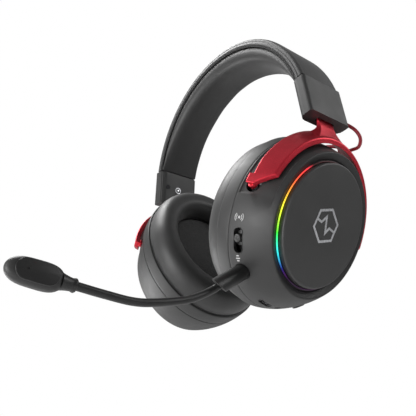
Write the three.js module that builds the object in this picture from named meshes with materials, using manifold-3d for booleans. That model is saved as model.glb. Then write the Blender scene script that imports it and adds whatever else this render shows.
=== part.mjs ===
// Over-ear wireless gaming headset, in millimetres, +Z up.
// The wearer faces -Y, so the wearer's left ear is on the +X side.
// The origin is where the crown of the head meets the middle of the headband pad.
import * as THREE from 'three';
import { mergeVertices } from 'three/addons/utils/BufferGeometryUtils.js';
import Module from 'manifold-3d';

const wasm = await Module();
wasm.setup();

const DEG = Math.PI / 180;

// ---------------------------------------------------------------- driving dimensions

// Headband: an elliptical arch, seen from the front.
const BAND = {
  halfSpan: 81.5,       // outer half width of the arch
  rise: 85,             // outer height of the ellipse above its centre
  width: 33.5,          // front to back
  crownDepth: 16.5,     // cover and pad together at the crown
  endDepth: 9.3,        // cover and pad together where they meet the caps
  endAngle: 75.7 * DEG, // where cover and pad stop, measured from the crown
  coverWall: 1.6,
  coverSide: 5.1,       // how far the cover wraps down the front and back
  steelDepth: 1.9,      // top of the spring steel strip below the outer surface
  steelThick: 0.6,
  steelWidth: 16.6,
  padTop: 5.4,
};
const BAND_CENTRE_Z = BAND.crownDepth - BAND.rise;

// End caps: straight sleeves that lean outwards as they go down.
const CAP = {
  bottom: [78.2, 0, -76],
  lean: 6.2 * DEG,
  height: 26.7,
  depth: 10,            // inboard to outboard
  width: 34.6,          // front to back
  wall: 1.8,
  innerPlate: 1.9,
  screwY: -11.2,
  screwZ: 14,
  leadZ: 6.5,
};

// Slider tongue of the yoke, which runs in the cap.
const TONGUE = { width: 13, thick: 1.6, length: 32.6, inset: 0.4 };

// Ear cups: ovals about an axis that points outwards from the ear.
const CUP = {
  centre: [37.5, -3, -126.5],
  toeIn: 22 * DEG,      // bottoms closer together than tops
  rake: 18.3 * DEG,     // tops leaning to the back
  seamRadius: 46,       // half width at the seam between cushion and housing
  domeLength: 58.4,     // where the shell's curve would close
  domePower: 1.7,
  ovality: 1.17,        // height over width at the seam
  ovalityGain: 0.001,   // added for each millimetre outwards
  splitDepth: 9.45,     // seam between the two housing halves
  rimDepth: 34.2,       // outer rim of the shell
  deckDepth: 31.8,      // floor that carries plate and light ring
  wall: 2.2,
  pivotDepth: 17,
};
const PLATE = { radius: 30.4, floor: 32.2, face: 36.6 };
const LIGHT = { inner: 31, outer: 32, floor: 32.15, face: 33 };
const CUSHION = { inner: 27.6, outer: 44.6, crestRadius: 35, height: 15.2, base: 0.4 };

const YOKE = {
  gap: 1.0,             // between shell and yoke at the pivots
  topGap: 2.6,          // between shell and yoke over the top
  thick: 3.2,
  tipAngle: -1.2 * DEG,
  neckAngle: 107 * DEG,
  neckDepth: 23.5,
};
const PIVOT = { pocket: 4.4, bushOuter: 3.4, bushInner: 2.1, pin: 1.8, boss: 3.0 };

// Sides of the round shapes.
const SIDES = { shell: 36, ring: 30 };

const MIC = { angle: 238 * DEG, depth: 15.8, radius: 4.6, lean: -9 * DEG, length: 21, boom: 2.0 };

const LEAD = { radius: 1.1 };

const MATERIAL = {
  matteBlack: plastic(0x232325, 0.55),
  gloss: plastic(0x101012, 0.25),
  dark: plastic(0x17181a, 0.7),
  leather: plastic(0x2a2a2c, 0.6),
  cloth: plastic(0x1c1c1e, 0.95),
  red: plastic(0xa01c2c, 0.35, 0.4),
  redLead: plastic(0x8c2230, 0.5),
  steel: plastic(0xb8babd, 0.3, 1),
  silver: plastic(0xc9ccd2, 0.3, 0.9),
  light: plastic(0x35e06a, 0.3),
  board: plastic(0x14532d, 0.6),
  foil: plastic(0x8a8f96, 0.4, 0.6),
};

function plastic(color, roughness, metalness = 0) {
  return new THREE.MeshStandardMaterial({ color, roughness, metalness });
}

// ---------------------------------------------------------------- solids

const MERGE_DISTANCE = 1e-4;

// A welded copy of a geometry with no flat slivers and its faces pointing out.
function tidy(geometry) {
  const bare = geometry.clone();
  bare.deleteAttribute('normal');
  bare.deleteAttribute('uv');
  const merged = mergeVertices(bare, MERGE_DISTANCE);
  const points = merged.getAttribute('position');
  const corner = (i) => new THREE.Vector3().fromBufferAttribute(points, i);
  const kept = [];
  let volume = 0;
  for (let i = 0; i < merged.index.count; i += 3) {
    const [a, b, c] = [0, 1, 2].map((k) => merged.index.getX(i + k));
    if (a === b || b === c || c === a) continue;
    kept.push(a, b, c);
    volume += corner(a).dot(corner(b).cross(corner(c)));
  }
  if (volume < 0) kept.reverse();
  merged.setIndex(kept);
  return merged;
}

function toSolid(geometry) {
  const shape = tidy(geometry);
  return new wasm.Manifold(new wasm.Mesh({
    numProp: 3,
    vertProperties: Float32Array.from(shape.getAttribute('position').array),
    triVerts: Uint32Array.from(shape.index.array),
  }));
}

function toGeometry(solid) {
  const mesh = solid.getMesh();
  const geometry = new THREE.BufferGeometry();
  geometry.setAttribute('position', new THREE.BufferAttribute(mesh.vertProperties, 3));
  geometry.setIndex(new THREE.BufferAttribute(mesh.triVerts, 1));
  return geometry;
}

function join(...shapes) {
  return toGeometry(shapes.map(toSolid).reduce((a, b) => a.add(b)));
}

function cut(shape, ...tools) {
  return toGeometry(tools.map(toSolid).reduce((a, b) => a.subtract(b), toSolid(shape)));
}

function common(a, b) {
  return toGeometry(toSolid(a).intersect(toSolid(b)));
}

// ---------------------------------------------------------------- basic shapes

// A box from its lowest and highest corners.
function box(low, high) {
  const size = high.map((value, i) => value - low[i]);
  return new THREE.BoxGeometry(...size).translate(...low.map((value, i) => value + size[i] / 2));
}

// A cylinder along Z between two heights.
function rod(radius, z0, z1, sides = 24, topRadius = radius) {
  return new THREE.CylinderGeometry(topRadius, radius, z1 - z0, sides)
    .rotateX(90 * DEG)
    .translate(0, 0, (z0 + z1) / 2);
}

// A rectangle with rounded corners, centred on the origin.
function roundedRectangle(width, height, radii, steps = 4) {
  const [rightTop, leftTop, leftBottom, rightBottom] = radii;
  const w = width / 2;
  const h = height / 2;
  const corners = [
    [w - rightTop, h - rightTop, rightTop, 0],
    [-w + leftTop, h - leftTop, leftTop, 90],
    [-w + leftBottom, -h + leftBottom, leftBottom, 180],
    [w - rightBottom, -h + rightBottom, rightBottom, 270],
  ];
  const points = [];
  for (const [x, y, radius, start] of corners) {
    for (let i = 0; i <= steps; i++) {
      const a = (start + (90 * i) / steps) * DEG;
      points.push(new THREE.Vector2(x + radius * Math.cos(a), y + radius * Math.sin(a)));
    }
  }
  return points;
}

// An outline in XY raised along Z.
function prism(outline, z0, z1) {
  const shape = new THREE.Shape(outline);
  return new THREE.ExtrudeGeometry(shape, { depth: z1 - z0, bevelEnabled: false, steps: 1 })
    .translate(0, 0, z0);
}

// A slot shape: a rectangle along X with round ends.
function stadium(length, width, steps = 3) {
  const r = width / 2 - 0.01;
  return roundedRectangle(length, width, [r, r, r, r], steps);
}

// A round tube along a list of points.
function cord(points, radius, sides, steps) {
  const path = new THREE.CatmullRomCurve3(points.map((p) => new THREE.Vector3(...p)));
  const section = [];
  for (let i = 0; i < sides; i++) {
    const a = (2 * Math.PI * i) / sides;
    section.push(new THREE.Vector2(radius * Math.cos(a), radius * Math.sin(a)));
  }
  return new THREE.ExtrudeGeometry(new THREE.Shape(section), { steps, extrudePath: path });
}

// A skin through rings of equal point counts, closed by the flat outline at both ends.
function skin(rings, outline) {
  const count = rings[0].length;
  const last = (rings.length - 1) * count;
  const faces = [];
  for (let r = 0; r < rings.length - 1; r++) {
    for (let i = 0; i < count; i++) {
      const a = r * count + i;
      const b = r * count + ((i + 1) % count);
      faces.push(a, b, a + count, b, b + count, a + count);
    }
  }
  const turn = Math.sign(THREE.ShapeUtils.area(outline));
  for (const face of THREE.ShapeUtils.triangulateShape(outline, [])) {
    const side = Math.sign(THREE.ShapeUtils.area(face.map((i) => outline[i])));
    const [a, b, c] = side === turn ? face : [...face].reverse();
    faces.push(a, c, b, last + a, last + b, last + c);
  }
  const geometry = new THREE.BufferGeometry().setFromPoints(rings.flat());
  geometry.setIndex(faces);
  return geometry;
}

// ---------------------------------------------------------------- headband

// A point of the arch: angle from the crown, position front to back, depth below the outside.
function bandPoint(angle, y, depth) {
  const normal = new THREE.Vector2(Math.sin(angle) / BAND.halfSpan, Math.cos(angle) / BAND.rise);
  normal.normalize();
  return new THREE.Vector3(
    BAND.halfSpan * Math.sin(angle) - depth * normal.x,
    y,
    BAND_CENTRE_Z + BAND.rise * Math.cos(angle) - depth * normal.y,
  );
}

// A section carried along the arch. sectionAt gives [y, depth] points for a share of the way, -1 to 1.
function alongBand(endAngle, steps, sectionAt) {
  const rings = [];
  for (let i = 0; i <= steps; i++) {
    const share = -1 + (2 * i) / steps;
    rings.push(sectionAt(share).map(([y, depth]) => bandPoint(share * endAngle, y, depth)));
  }
  return skin(rings, sectionAt(-1).map(([y, depth]) => new THREE.Vector2(y, depth)));
}

// The pad is deepest at the crown and thins towards the caps.
function bandDepth(share) {
  const fullness = 1 - Math.abs(share) ** 2.6;
  return BAND.endDepth + (BAND.crownDepth - BAND.endDepth) * fullness;
}

function headbandCover() {
  const half = BAND.width / 2;
  const inside = half - BAND.coverWall;
  const edge = 1.5;
  const corner = [90, 45, 0].map((a) => [
    half - edge + edge * Math.sin(a * DEG),
    edge - edge * Math.cos(a * DEG),
  ]);
  const right = [[inside, BAND.coverWall], [inside, BAND.coverSide], [half, BAND.coverSide], ...corner];
  const left = right.map(([y, depth]) => [-y, depth]).reverse();
  return alongBand(BAND.endAngle, 26, () => [...right, ...left]);
}

function headbandPad() {
  const half = BAND.width / 2 - 0.4;
  const section = (share) => {
    const depth = bandDepth(share);
    const right = [
      [half - 2, BAND.padTop],
      [half, BAND.padTop + 1.1],
      [half, BAND.padTop + (depth - BAND.padTop) * 0.45],
      [half - 2.6, depth - 1.9],
      [half - 8, depth - 0.4],
    ];
    const left = right.map(([y, d]) => [-y, d]).reverse();
    return [...right, [0, depth], ...left];
  };
  return alongBand(BAND.endAngle, 24, section);
}

function springSteelBand() {
  const half = BAND.steelWidth / 2;
  const top = BAND.steelDepth;
  const low = top + BAND.steelThick;
  return alongBand(86 * DEG, 26, () => [[half, top], [half, low], [-half, low], [-half, top]]);
}

function headbandWire() {
  const [y, depth, radius] = [12.3, 3.7, 0.7];
  const section = [];
  for (let i = 0; i < 6; i++) {
    section.push([y + radius * Math.cos(60 * i * DEG), depth + radius * Math.sin(60 * i * DEG)]);
  }
  return alongBand(82 * DEG, 26, () => section);
}

// ---------------------------------------------------------------- end caps

// Cap axes: X outboard, Y back, Z up along the sleeve, from the middle of its lower end.
const capPlace = new THREE.Matrix4()
  .makeRotationY(-CAP.lean)
  .setPosition(...CAP.bottom);

const capOutline = roundedRectangle(CAP.depth, CAP.width, [2, 4.5, 4.5, 2]);
const INNER_PLATE_FACE = -CAP.depth / 2 + CAP.innerPlate;
const PART_LINE = 0.3;

function capOuter() {
  const half = CAP.width / 2;
  const whole = prism(capOutline, 0, CAP.height);
  const behind = box([-20, -30, -5], [INNER_PLATE_FACE + PART_LINE, 30, 40]);
  const cavity = box(
    [INNER_PLATE_FACE - 1, -half + CAP.wall, CAP.wall],
    [CAP.depth / 2 - CAP.wall, half - CAP.wall, 40],
  );
  const boss = rod(2.3, INNER_PLATE_FACE + PART_LINE, CAP.depth / 2 - 1, 16)
    .rotateY(90 * DEG).translate(0, CAP.screwY, CAP.screwZ);
  const thread = rod(1.15, -10, 1.6, 12).rotateY(90 * DEG).translate(0, CAP.screwY, CAP.screwZ);
  const mouth = box([-1.9, -TONGUE.width / 2 - 0.7, -5], [1.1, TONGUE.width / 2 + 0.7, CAP.wall + 1]);
  const leadHole = rod(LEAD.radius + 0.35, 10, 30, 12).rotateX(-90 * DEG).translate(0.6, 0, CAP.leadZ);
  return cut(join(cut(whole, behind, cavity), boss), thread, mouth, leadHole);
}

function capInner() {
  const whole = prism(capOutline, 0, CAP.height);
  const beyond = box([INNER_PLATE_FACE, -30, -5], [20, 30, 40]);
  const sink = rod(2.1, -20, -3.9, 20).rotateY(90 * DEG);
  const hole = rod(1.15, -20, 20, 12).rotateY(90 * DEG);
  const tools = [sink, hole].map((tool) => tool.translate(0, CAP.screwY, CAP.screwZ));
  return cut(whole, beyond, ...tools);
}

function capScrew() {
  const head = rod(1.8, -4.9, -4.2, 16);
  const shank = rod(0.85, -4.3, 1.2, 12);
  const slot = box([-0.3, -1.2, -6], [0.3, 1.2, -4.6]);
  return cut(join(head, shank), slot).rotateY(90 * DEG).translate(0, CAP.screwY, CAP.screwZ);
}

// A bowed leaf that presses on the slider tongue.
function detentSpring() {
  const [reach, bow, thick] = [6, 0.75, 0.3];
  const line = (offset) => {
    const points = [];
    for (let i = 0; i <= 8; i++) {
      const z = -reach + (2 * reach * i) / 8;
      points.push(new THREE.Vector2(bow * (1 - (z / reach) ** 2) + offset, z));
    }
    return points;
  };
  const outline = [...line(0), ...line(thick).reverse()];
  return prism(outline, -4, 4).rotateX(90 * DEG).translate(-2.65, 0, 14);
}

// ---------------------------------------------------------------- ear cups

// Cup axes: X outwards from the ear, Y back, Z up, all leaning with the cup.
const cupPlace = new THREE.Matrix4()
  .makeRotationY(CUP.toeIn)
  .multiply(new THREE.Matrix4().makeRotationX(-CUP.rake))
  .setPosition(...CUP.centre);

// Half width of the shell at a depth outwards from the seam.
function shellRadius(depth) {
  const along = Math.max(depth, 0) / CUP.domeLength;
  return CUP.seamRadius * Math.sqrt(1 - along ** CUP.domePower);
}

const stretchAt = (depth) => CUP.ovality + CUP.ovalityGain * depth;

// Turns a profile of [radius, depth] about the cup's axis and stretches it to the cup's oval.
function oval(profile, segments) {
  const points = profile.map(([radius, depth]) => new THREE.Vector2(radius, depth));
  const geometry = new THREE.LatheGeometry(points, segments).rotateZ(-90 * DEG);
  const position = geometry.getAttribute('position');
  for (let i = 0; i < position.count; i++) {
    position.setZ(i, position.getZ(i) * stretchAt(position.getX(i)));
  }
  return geometry;
}

// Closed ring profiles end where they start.
const closedRing = (profile) => [...profile, profile[0]];

// Shell outline between two depths, moved inwards by an offset.
function shellLine(from, to, offset, steps) {
  const line = [];
  for (let i = 0; i <= steps; i++) {
    const depth = from + ((to - from) * i) / steps;
    line.push([shellRadius(depth) - offset, depth]);
  }
  return line;
}

// The frame of a spot on the rim: X along the rim, Y outwards from the ear, Z out of the surface.
function rimFrame(angle, depth) {
  const at = (a, d) => {
    const radius = shellRadius(d);
    return new THREE.Vector3(d, radius * Math.cos(a), radius * Math.sin(a) * stretchAt(d));
  };
  const along = at(angle + 0.01, depth).sub(at(angle - 0.01, depth)).normalize();
  const outwards = at(angle, depth + 0.1).sub(at(angle, depth - 0.1)).normalize();
  const normal = new THREE.Vector3().crossVectors(outwards, along).normalize();
  if (normal.dot(at(angle, 0)) < 0) normal.negate();
  const second = new THREE.Vector3().crossVectors(normal, along);
  return new THREE.Matrix4().makeBasis(along, second, normal).setPosition(at(angle, depth));
}

const onRim = (geometry, angle, depth) => geometry.applyMatrix4(rimFrame(angle, depth));

function outerShell(cuts) {
  const from = CUP.splitDepth + 0.15;
  const outer = shellLine(from, CUP.rimDepth, 0, 5);
  const inner = shellLine(from, CUP.deckDepth - CUP.wall, CUP.wall, 3).reverse();
  const rimRadius = shellRadius(CUP.rimDepth);
  const profile = [
    [0, CUP.deckDepth - CUP.wall],
    ...inner,
    ...outer,
    [rimRadius - 0.7, CUP.rimDepth - 0.2],
    [33.4, CUP.deckDepth],
    [0, CUP.deckDepth],
  ];
  return cut(oval(profile, SIDES.shell), yokeRecess(), ...pivotPockets(), ...cuts);
}

// The shallow track in the upper half of the shell that the yoke lies in.
function yokeRecess() {
  const [from, to, sink] = [CUP.splitDepth + 1.2, 31, 0.7];
  const floor = shellLine(from, to, sink, 3);
  const ring = oval(closedRing([...floor, [60, to], [60, from]]), SIDES.shell);
  return common(ring, box([-50, -90, -5.2], [90, 90, 90]));
}

// Round pockets for the two pivots, front and back.
function pivotPockets() {
  return [-1, 1].flatMap((side) => [
    alongY(rod(PIVOT.pocket, shellRadius(CUP.pivotDepth) - 2.4, 60, 18), side),
    alongY(rod(PIVOT.bushOuter + 0.3, 30, 60, 16), side),
  ]);
}

// Lays a Z-axis shape on the pivot line, towards the front (-1) or the back (1).
function alongY(geometry, side) {
  return geometry.rotateX(-90 * DEG * side).translate(CUP.pivotDepth, 0, 0);
}

function innerHousing(cuts) {
  const to = CUP.splitDepth - 0.15;
  const outer = shellLine(0, to, 0, 2);
  const lip = shellRadius(to) - CUP.wall;
  const ring = [
    ...outer,
    [lip, to],
    [lip, 4.4],
    [39, 4.4],
    [39, 2.6],
    [43.6, 2.6],
    [43.6, 0],
  ];
  const whole = oval(closedRing(ring), SIDES.shell);
  return cuts.length ? cut(whole, ...cuts) : whole;
}

function baffle() {
  return oval(closedRing([[43.2, 0.3], [43.2, 2.2], [20, 2.2], [20, 0.3]]), SIDES.ring);
}

function driver() {
  const profile = [
    [0, 3.2], [17, 3.2], [19, 2.6], [24.6, 2.6], [24.6, 5], [21, 7], [13, 8.4],
    [13, 13.5], [0, 13.5],
  ];
  return new THREE.LatheGeometry(profile.map((p) => new THREE.Vector2(...p)), 20).rotateZ(-90 * DEG);
}

function speakerCloth() {
  return oval([[0, -2.4], [26.2, -2.4], [27, -1.9], [27, -0.6], [0, -0.6]], 28);
}

// A soft ring whose crest is nearer the hole than the rim.
function earCushion() {
  const { inner, outer, crestRadius, height, base } = CUSHION;
  const profile = [[inner + 0.8, -base]];
  const steps = 4;
  const power = 0.72;
  for (let i = 1; i <= steps; i++) {
    const a = (90 * i * DEG) / steps;
    profile.push([
      crestRadius - (crestRadius - inner) * Math.cos(a) ** power,
      -base - (height - base) * Math.sin(a) ** power,
    ]);
  }
  for (let i = steps - 1; i >= 0; i--) {
    const a = (90 * i * DEG) / steps;
    profile.push([
      crestRadius + (outer - crestRadius) * Math.cos(a) ** power,
      -base - (height - base) * Math.sin(a) ** 0.9,
    ]);
  }
  return oval(closedRing(profile), 32);
}

function outerPlate() {
  const { radius, floor, face } = PLATE;
  const profile = [
    [0, floor], [radius - 0.5, floor], [radius, floor + 0.5], [radius, face - 0.8],
    [radius - 0.8, face], [0, face],
  ];
  return cut(oval(profile, SIDES.shell), badge(0.35, face - 0.7, face + 1));
}

function lightRing() {
  const { inner, outer, floor, face } = LIGHT;
  return oval(closedRing([[outer, floor], [outer, face], [inner, face], [inner, floor]]), SIDES.shell);
}

// A flat zigzag of even thickness through points, with mitred corners.
function ribbon(points, half) {
  const normals = [];
  for (let i = 1; i < points.length; i++) {
    const along = points[i].clone().sub(points[i - 1]).normalize();
    normals.push(new THREE.Vector2(-along.y, along.x));
  }
  const edge = (sign) => points.map((point, i) => {
    const before = normals[Math.max(i - 1, 0)];
    const after = normals[Math.min(i, normals.length - 1)];
    return before.clone().add(after).multiplyScalar(sign * half / (1 + before.dot(after))).add(point);
  });
  return [...edge(-1), ...edge(1).reverse()];
}

// A plain badge: an upright hexagon frame crossed by a pulse line, all its lines wider by grow on each side.
function badge(grow, z0, z1) {
  const hexagon = (radius) => {
    const points = [];
    for (let i = 0; i < 6; i++) {
      const a = (90 + 60 * i) * DEG;
      points.push(new THREE.Vector2(radius * 0.92 * Math.cos(a), radius * Math.sin(a)));
    }
    return points;
  };
  const frame = cut(prism(hexagon(11 + grow), z0, z1), prism(hexagon(9.4 - grow), z0 - 1, z1 + 1));
  const pulse = [[-9.4, 0], [-4.2, 0], [-2.0, 4.6], [1.6, -3.9], [3.2, 0], [9.4, 0]];
  const line = ribbon(pulse.map(([x, y]) => new THREE.Vector2(x, y)), 0.65 + grow * 0.85);
  const crossing = common(prism(line, z0, z1), prism(hexagon(10.2), z0 - 1, z1 + 1));
  // Seen from outside, the badge's X runs to the back and its Y runs up.
  return join(frame, crossing).applyMatrix4(new THREE.Matrix4().makeBasis(
    new THREE.Vector3(0, 1, 0),
    new THREE.Vector3(0, 0, 1),
    new THREE.Vector3(1, 0, 0),
  ));
}

// The badge is let into the plate and stands a little proud of its face.
function emblem() {
  return badge(0, PLATE.face - 0.4, PLATE.face + 0.15);
}

function pivotBush(side) {
  const end = shellRadius(CUP.pivotDepth) - 2.8;
  const tube = cut(rod(PIVOT.bushOuter, end - 3.6, end, 16), rod(PIVOT.bushInner, 0, 60, 16));
  return alongY(tube, side);
}

function pivotPin(side) {
  const end = shellRadius(CUP.pivotDepth);
  return alongY(rod(PIVOT.pin, end - 6.2, end - 0.9, 14), side);
}

// ---------------------------------------------------------------- yokes

// A point of the yoke: depth outwards from the seam, angle round the cup, height in its thickness.
function yokePoint(depth, angle, height) {
  const gap = YOKE.gap + (YOKE.topGap - YOKE.gap) * Math.sin(angle) ** 2;
  const radius = shellRadius(depth);
  return new THREE.Vector3(
    depth,
    (radius + gap + height) * Math.cos(angle),
    (radius * stretchAt(depth) + gap + height) * Math.sin(angle),
  );
}

// Value at x on straight lines through [x, value] points.
function between(points, x) {
  const next = points.findIndex(([px]) => px >= x);
  if (next === 0) return points[0][1];
  if (next < 0) return points.at(-1)[1];
  const [[x0, y0], [x1, y1]] = [points[next - 1], points[next]];
  return y0 + ((y1 - y0) * (x - x0)) / (x1 - x0);
}

// Inboard and outboard edges of the yoke band, by degrees up from the nearer pivot.
const YOKE_INBOARD = [[-2, 15.6], [4.8, 15.6], [5.2, 18.2], [16, 17.3], [40, 17], [90, 18]];
const YOKE_OUTBOARD = [[-2, 20.6], [0, 21.4], [8.2, 29.6], [90, 29.2]];

function yokeArch() {
  const stops = [YOKE.tipAngle / DEG, 0, 4.8, 5.2, 8.2, 12, 18, 26, 35, 45, 56, 67, 78, 90];
  const angles = [...stops, ...stops.slice(0, -1).reverse().map((a) => 180 - a)];
  const [low, high, chamfer] = [0, YOKE.thick, 0.5];
  const section = (degrees) => {
    const up = Math.min(degrees, 180 - degrees);
    const from = between(YOKE_INBOARD, up);
    const to = between(YOKE_OUTBOARD, up);
    return [
      [from, low], [to, low], [to, high - chamfer],
      [to - chamfer, high], [from + chamfer, high], [from, high - chamfer],
    ];
  };
  const rings = angles.map((a) => section(a).map(([d, h]) => yokePoint(d, a * DEG, h)));
  return skin(rings, section(angles[0]).map((p) => new THREE.Vector2(...p)));
}

// A neck that narrows from the arch to the slider tongue, in the headset's own axes.
function yokeNeck() {
  const top = new THREE.Vector3(-TONGUE.inset, 0, -0.5).applyMatrix4(capPlace);
  const foot = yokePoint(YOKE.neckDepth, YOKE.neckAngle, YOKE.thick / 2).applyMatrix4(cupPlace);
  const capX = new THREE.Vector3(1, 0, 0).transformDirection(capPlace);
  const cupX = new THREE.Vector3(1, 0, 0).transformDirection(cupPlace);
  const step = 0.1;
  const tangent = yokePoint(YOKE.neckDepth, YOKE.neckAngle - step, 0)
    .sub(yokePoint(YOKE.neckDepth, YOKE.neckAngle + step, 0))
    .transformDirection(cupPlace);
  const backwards = new THREE.Vector3(0, 1, 0);
  const steps = 7;
  const rings = [];
  for (let i = 0; i <= steps; i++) {
    const share = i / steps;
    const flare = share ** 2.2;
    const centre = top.clone().lerp(foot, share);
    const across = backwards.clone().lerp(tangent, share).normalize();
    const deep = capX.clone().lerp(cupX, share).normalize();
    const halfWidth = TONGUE.width / 2 + 9 * flare;
    const halfDeep = TONGUE.thick / 2 + 0.35 + 4.2 * share ** 1.1;
    rings.push([[1, 1], [-1, 1], [-1, -1], [1, -1]].map(([a, b]) => centre.clone()
      .addScaledVector(across, a * halfWidth)
      .addScaledVector(deep, b * halfDeep)));
  }
  const square = [[1, 1], [-1, 1], [-1, -1], [1, -1]].map((p) => new THREE.Vector2(...p));
  return skin(rings, square);
}

function yokeTongue() {
  const half = TONGUE.width / 2;
  const plate = box(
    [-TONGUE.inset - TONGUE.thick / 2, -half, -1.5],
    [-TONGUE.inset + TONGUE.thick / 2, half, TONGUE.length],
  );
  return plate.applyMatrix4(capPlace);
}

// A loop on the inboard edge of the arch that holds the lead.
function leadClip() {
  const ring = cut(rod(2.7, -1.2, 1.2, 14), rod(1.75, -5, 5, 12));
  return ring.rotateX(90 * DEG).applyMatrix4(clipPlace);
}

const CLIP = { angle: 82 * DEG, depth: 16.5 };
const clipPlace = new THREE.Matrix4().setPosition(
  yokePoint(CLIP.depth, CLIP.angle, YOKE.thick + 0.5),
);

function pivotBosses() {
  const radius = shellRadius(CUP.pivotDepth);
  return [-1, 1].map((side) => cut(
    alongY(rod(PIVOT.boss, radius - 1.6, radius + YOKE.gap + 1.2, 16), side),
    alongY(rod(PIVOT.pin + 0.3, 0, radius - 0.6, 14), side),
  ));
}

function yoke() {
  const inCup = [yokeArch(), ...pivotBosses(), leadClip()].map((g) => g.applyMatrix4(cupPlace));
  return join(...inCup, yokeNeck(), yokeTongue());
}

// ---------------------------------------------------------------- leads

// From the back of the cap, out in a loop and in to the clip on the yoke.
function upperLead() {
  const start = new THREE.Vector3(0.6, 14.2, CAP.leadZ).applyMatrix4(capPlace);
  const out = new THREE.Vector3(0.6, 20, CAP.leadZ).applyMatrix4(capPlace);
  const route = [
    start.toArray(),
    out.toArray(),
    [81.6, 24.5, -74.2],
    [83.0, 26.6, -80.0],
    [81.4, 26.0, -85.4],
    [76.6, 25.6, -85.6],
    clipEnd(3).toArray(),
    clipEnd(0.3).toArray(),
  ];
  return cord(route, LEAD.radius, 6, 20);
}

function clipEnd(past) {
  return new THREE.Vector3(0, past, 0).applyMatrix4(clipPlace).applyMatrix4(cupPlace);
}

// From the clip down to the top of the cup.
function lowerLead() {
  const gland = glandPoint(1.6);
  const end = clipEnd(-0.6);
  const inCup = cupPlace.clone().invert();
  const from = end.applyMatrix4(inCup);
  return cord([
    from.toArray(),
    [CLIP.depth, from.y - 1.8, from.z],
    [CLIP.depth - 2.6, from.y - 4.2, from.z - 0.8],
    [gland.x + 0.4, gland.y + 0.2, gland.z + 1.8],
    gland.toArray(),
  ], LEAD.radius, 6, 8);
}

const GLAND = { angle: 87 * DEG, depth: 6.2 };

function glandPoint(height) {
  return new THREE.Vector3(0, 0, height).applyMatrix4(rimFrame(GLAND.angle, GLAND.depth));
}

// ---------------------------------------------------------------- controls and sockets

const SLOT = { angle: 216.5 * DEG, depth: 16, length: 13.6, width: 5.2, offset: 1.3 };
const POWER = { angle: 322 * DEG, depth: 17, radius: 3.2 };
const MUTE = { angle: 306 * DEG, depth: 17, length: 8, width: 4.6 };
const WHEEL = { angle: 341 * DEG, depth: 17, radius: 8, thick: 3.4, proud: 1.6 };
const USB = { angle: 272 * DEG, depth: 16 };
const AUX = { angle: 286 * DEG, depth: 16 };

// Openings in the left shell, one for each control and socket.
function controlCuts() {
  return [
    onRim(prism(stadium(SLOT.length, SLOT.width), -8, 8), SLOT.angle, SLOT.depth),
    onRim(rod(POWER.radius + 0.35, -8, 8, 18), POWER.angle, POWER.depth),
    onRim(prism(stadium(MUTE.length + 0.7, MUTE.width + 0.7), -8, 8), MUTE.angle, MUTE.depth),
    onRim(box([-8.2, -WHEEL.thick / 2 - 0.4, -9], [8.2, WHEEL.thick / 2 + 0.4, 9]), WHEEL.angle, WHEEL.depth),
    onRim(prism(stadium(9.6, 3.8), -8, 8), USB.angle, USB.depth),
    onRim(rod(2.3, -8, 8, 16), AUX.angle, AUX.depth),
    onRim(rod(MIC.radius + 0.5, -1.1, 8, 20), MIC.angle, MIC.depth),
    onRim(rod(2.5, -8, 8, 16), MIC.angle, MIC.depth),
  ];
}

function modeSwitch() {
  const knob = prism(stadium(4.6, 3.8), -3.6, 1.3);
  const base = box([-4.2, -3.4, -5.0], [4.2, 3.4, -3.5]);
  return onRim(join(knob, base).translate(-SLOT.offset, 0, 0), SLOT.angle, SLOT.depth);
}

function powerButton() {
  const stem = join(rod(POWER.radius, -3.0, 0.9, 18), rod(POWER.radius + 1.2, -4.2, -2.9, 12));
  return onRim(stem, POWER.angle, POWER.depth);
}

function muteButton() {
  const face = prism(stadium(MUTE.length, MUTE.width), -3.1, 0.8);
  const foot = prism(stadium(MUTE.length + 2, MUTE.width + 2), -4.3, -3.0);
  return onRim(join(face, foot), MUTE.angle, MUTE.depth);
}

function volumeWheel() {
  const wheel = rod(WHEEL.radius, -WHEEL.thick / 2, WHEEL.thick / 2, 24);
  const grooves = [];
  for (let i = 0; i < 12; i++) {
    grooves.push(box([-0.6, WHEEL.radius - 0.5, -5], [0.6, WHEEL.radius + 2, 5]).rotateZ(30 * i * DEG));
  }
  const turned = cut(wheel, ...grooves).rotateX(90 * DEG);
  return onRim(turned.translate(0, 0, WHEEL.proud - WHEEL.radius), WHEEL.angle, WHEEL.depth);
}

function usbPort() {
  const shell = prism(stadium(9.0, 3.2), -7.6, -0.8);
  const mouth = prism(stadium(8.2, 2.4), -6.4, 5);
  return onRim(cut(shell, mouth), USB.angle, USB.depth);
}

function auxJack() {
  return onRim(cut(rod(3.2, -11, -3.1, 14), rod(1.9, -9.5, 5, 12)), AUX.angle, AUX.depth);
}

function micSocket() {
  return onRim(cut(rod(4.2, -14, -3.3, 16), rod(1.95, -12.5, 5, 12)), MIC.angle, MIC.depth);
}

// ---------------------------------------------------------------- microphone

function micPlug() {
  return onRim(rod(1.55, -9.5, -0.6, 12), MIC.angle, MIC.depth);
}

// Outward direction of the grip's slanted end, in the socket's axes.
const SLANT = new THREE.Vector3(0.45, -0.45, 0.77).normalize();

// A round grip that leans off the socket's axis and ends in a slanted face, from which the boom leaves.
function micHousing() {
  const grip = rod(MIC.radius, 0, 30, 20).rotateY(MIC.lean);
  const collar = rod(MIC.radius + 0.1, -0.8, 1.3, 20);
  const end = new THREE.Vector3(0, 0, MIC.length).applyAxisAngle(new THREE.Vector3(0, 1, 0), MIC.lean);
  const turn = new THREE.Quaternion().setFromUnitVectors(new THREE.Vector3(0, 0, 1), SLANT);
  const slant = box([-20, -20, 0], [20, 20, 30]).applyQuaternion(turn).translate(end.x, end.y, end.z);
  return onRim(cut(join(grip, collar), slant, rod(1.9, -5, -0.3, 14)), MIC.angle, MIC.depth);
}

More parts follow.
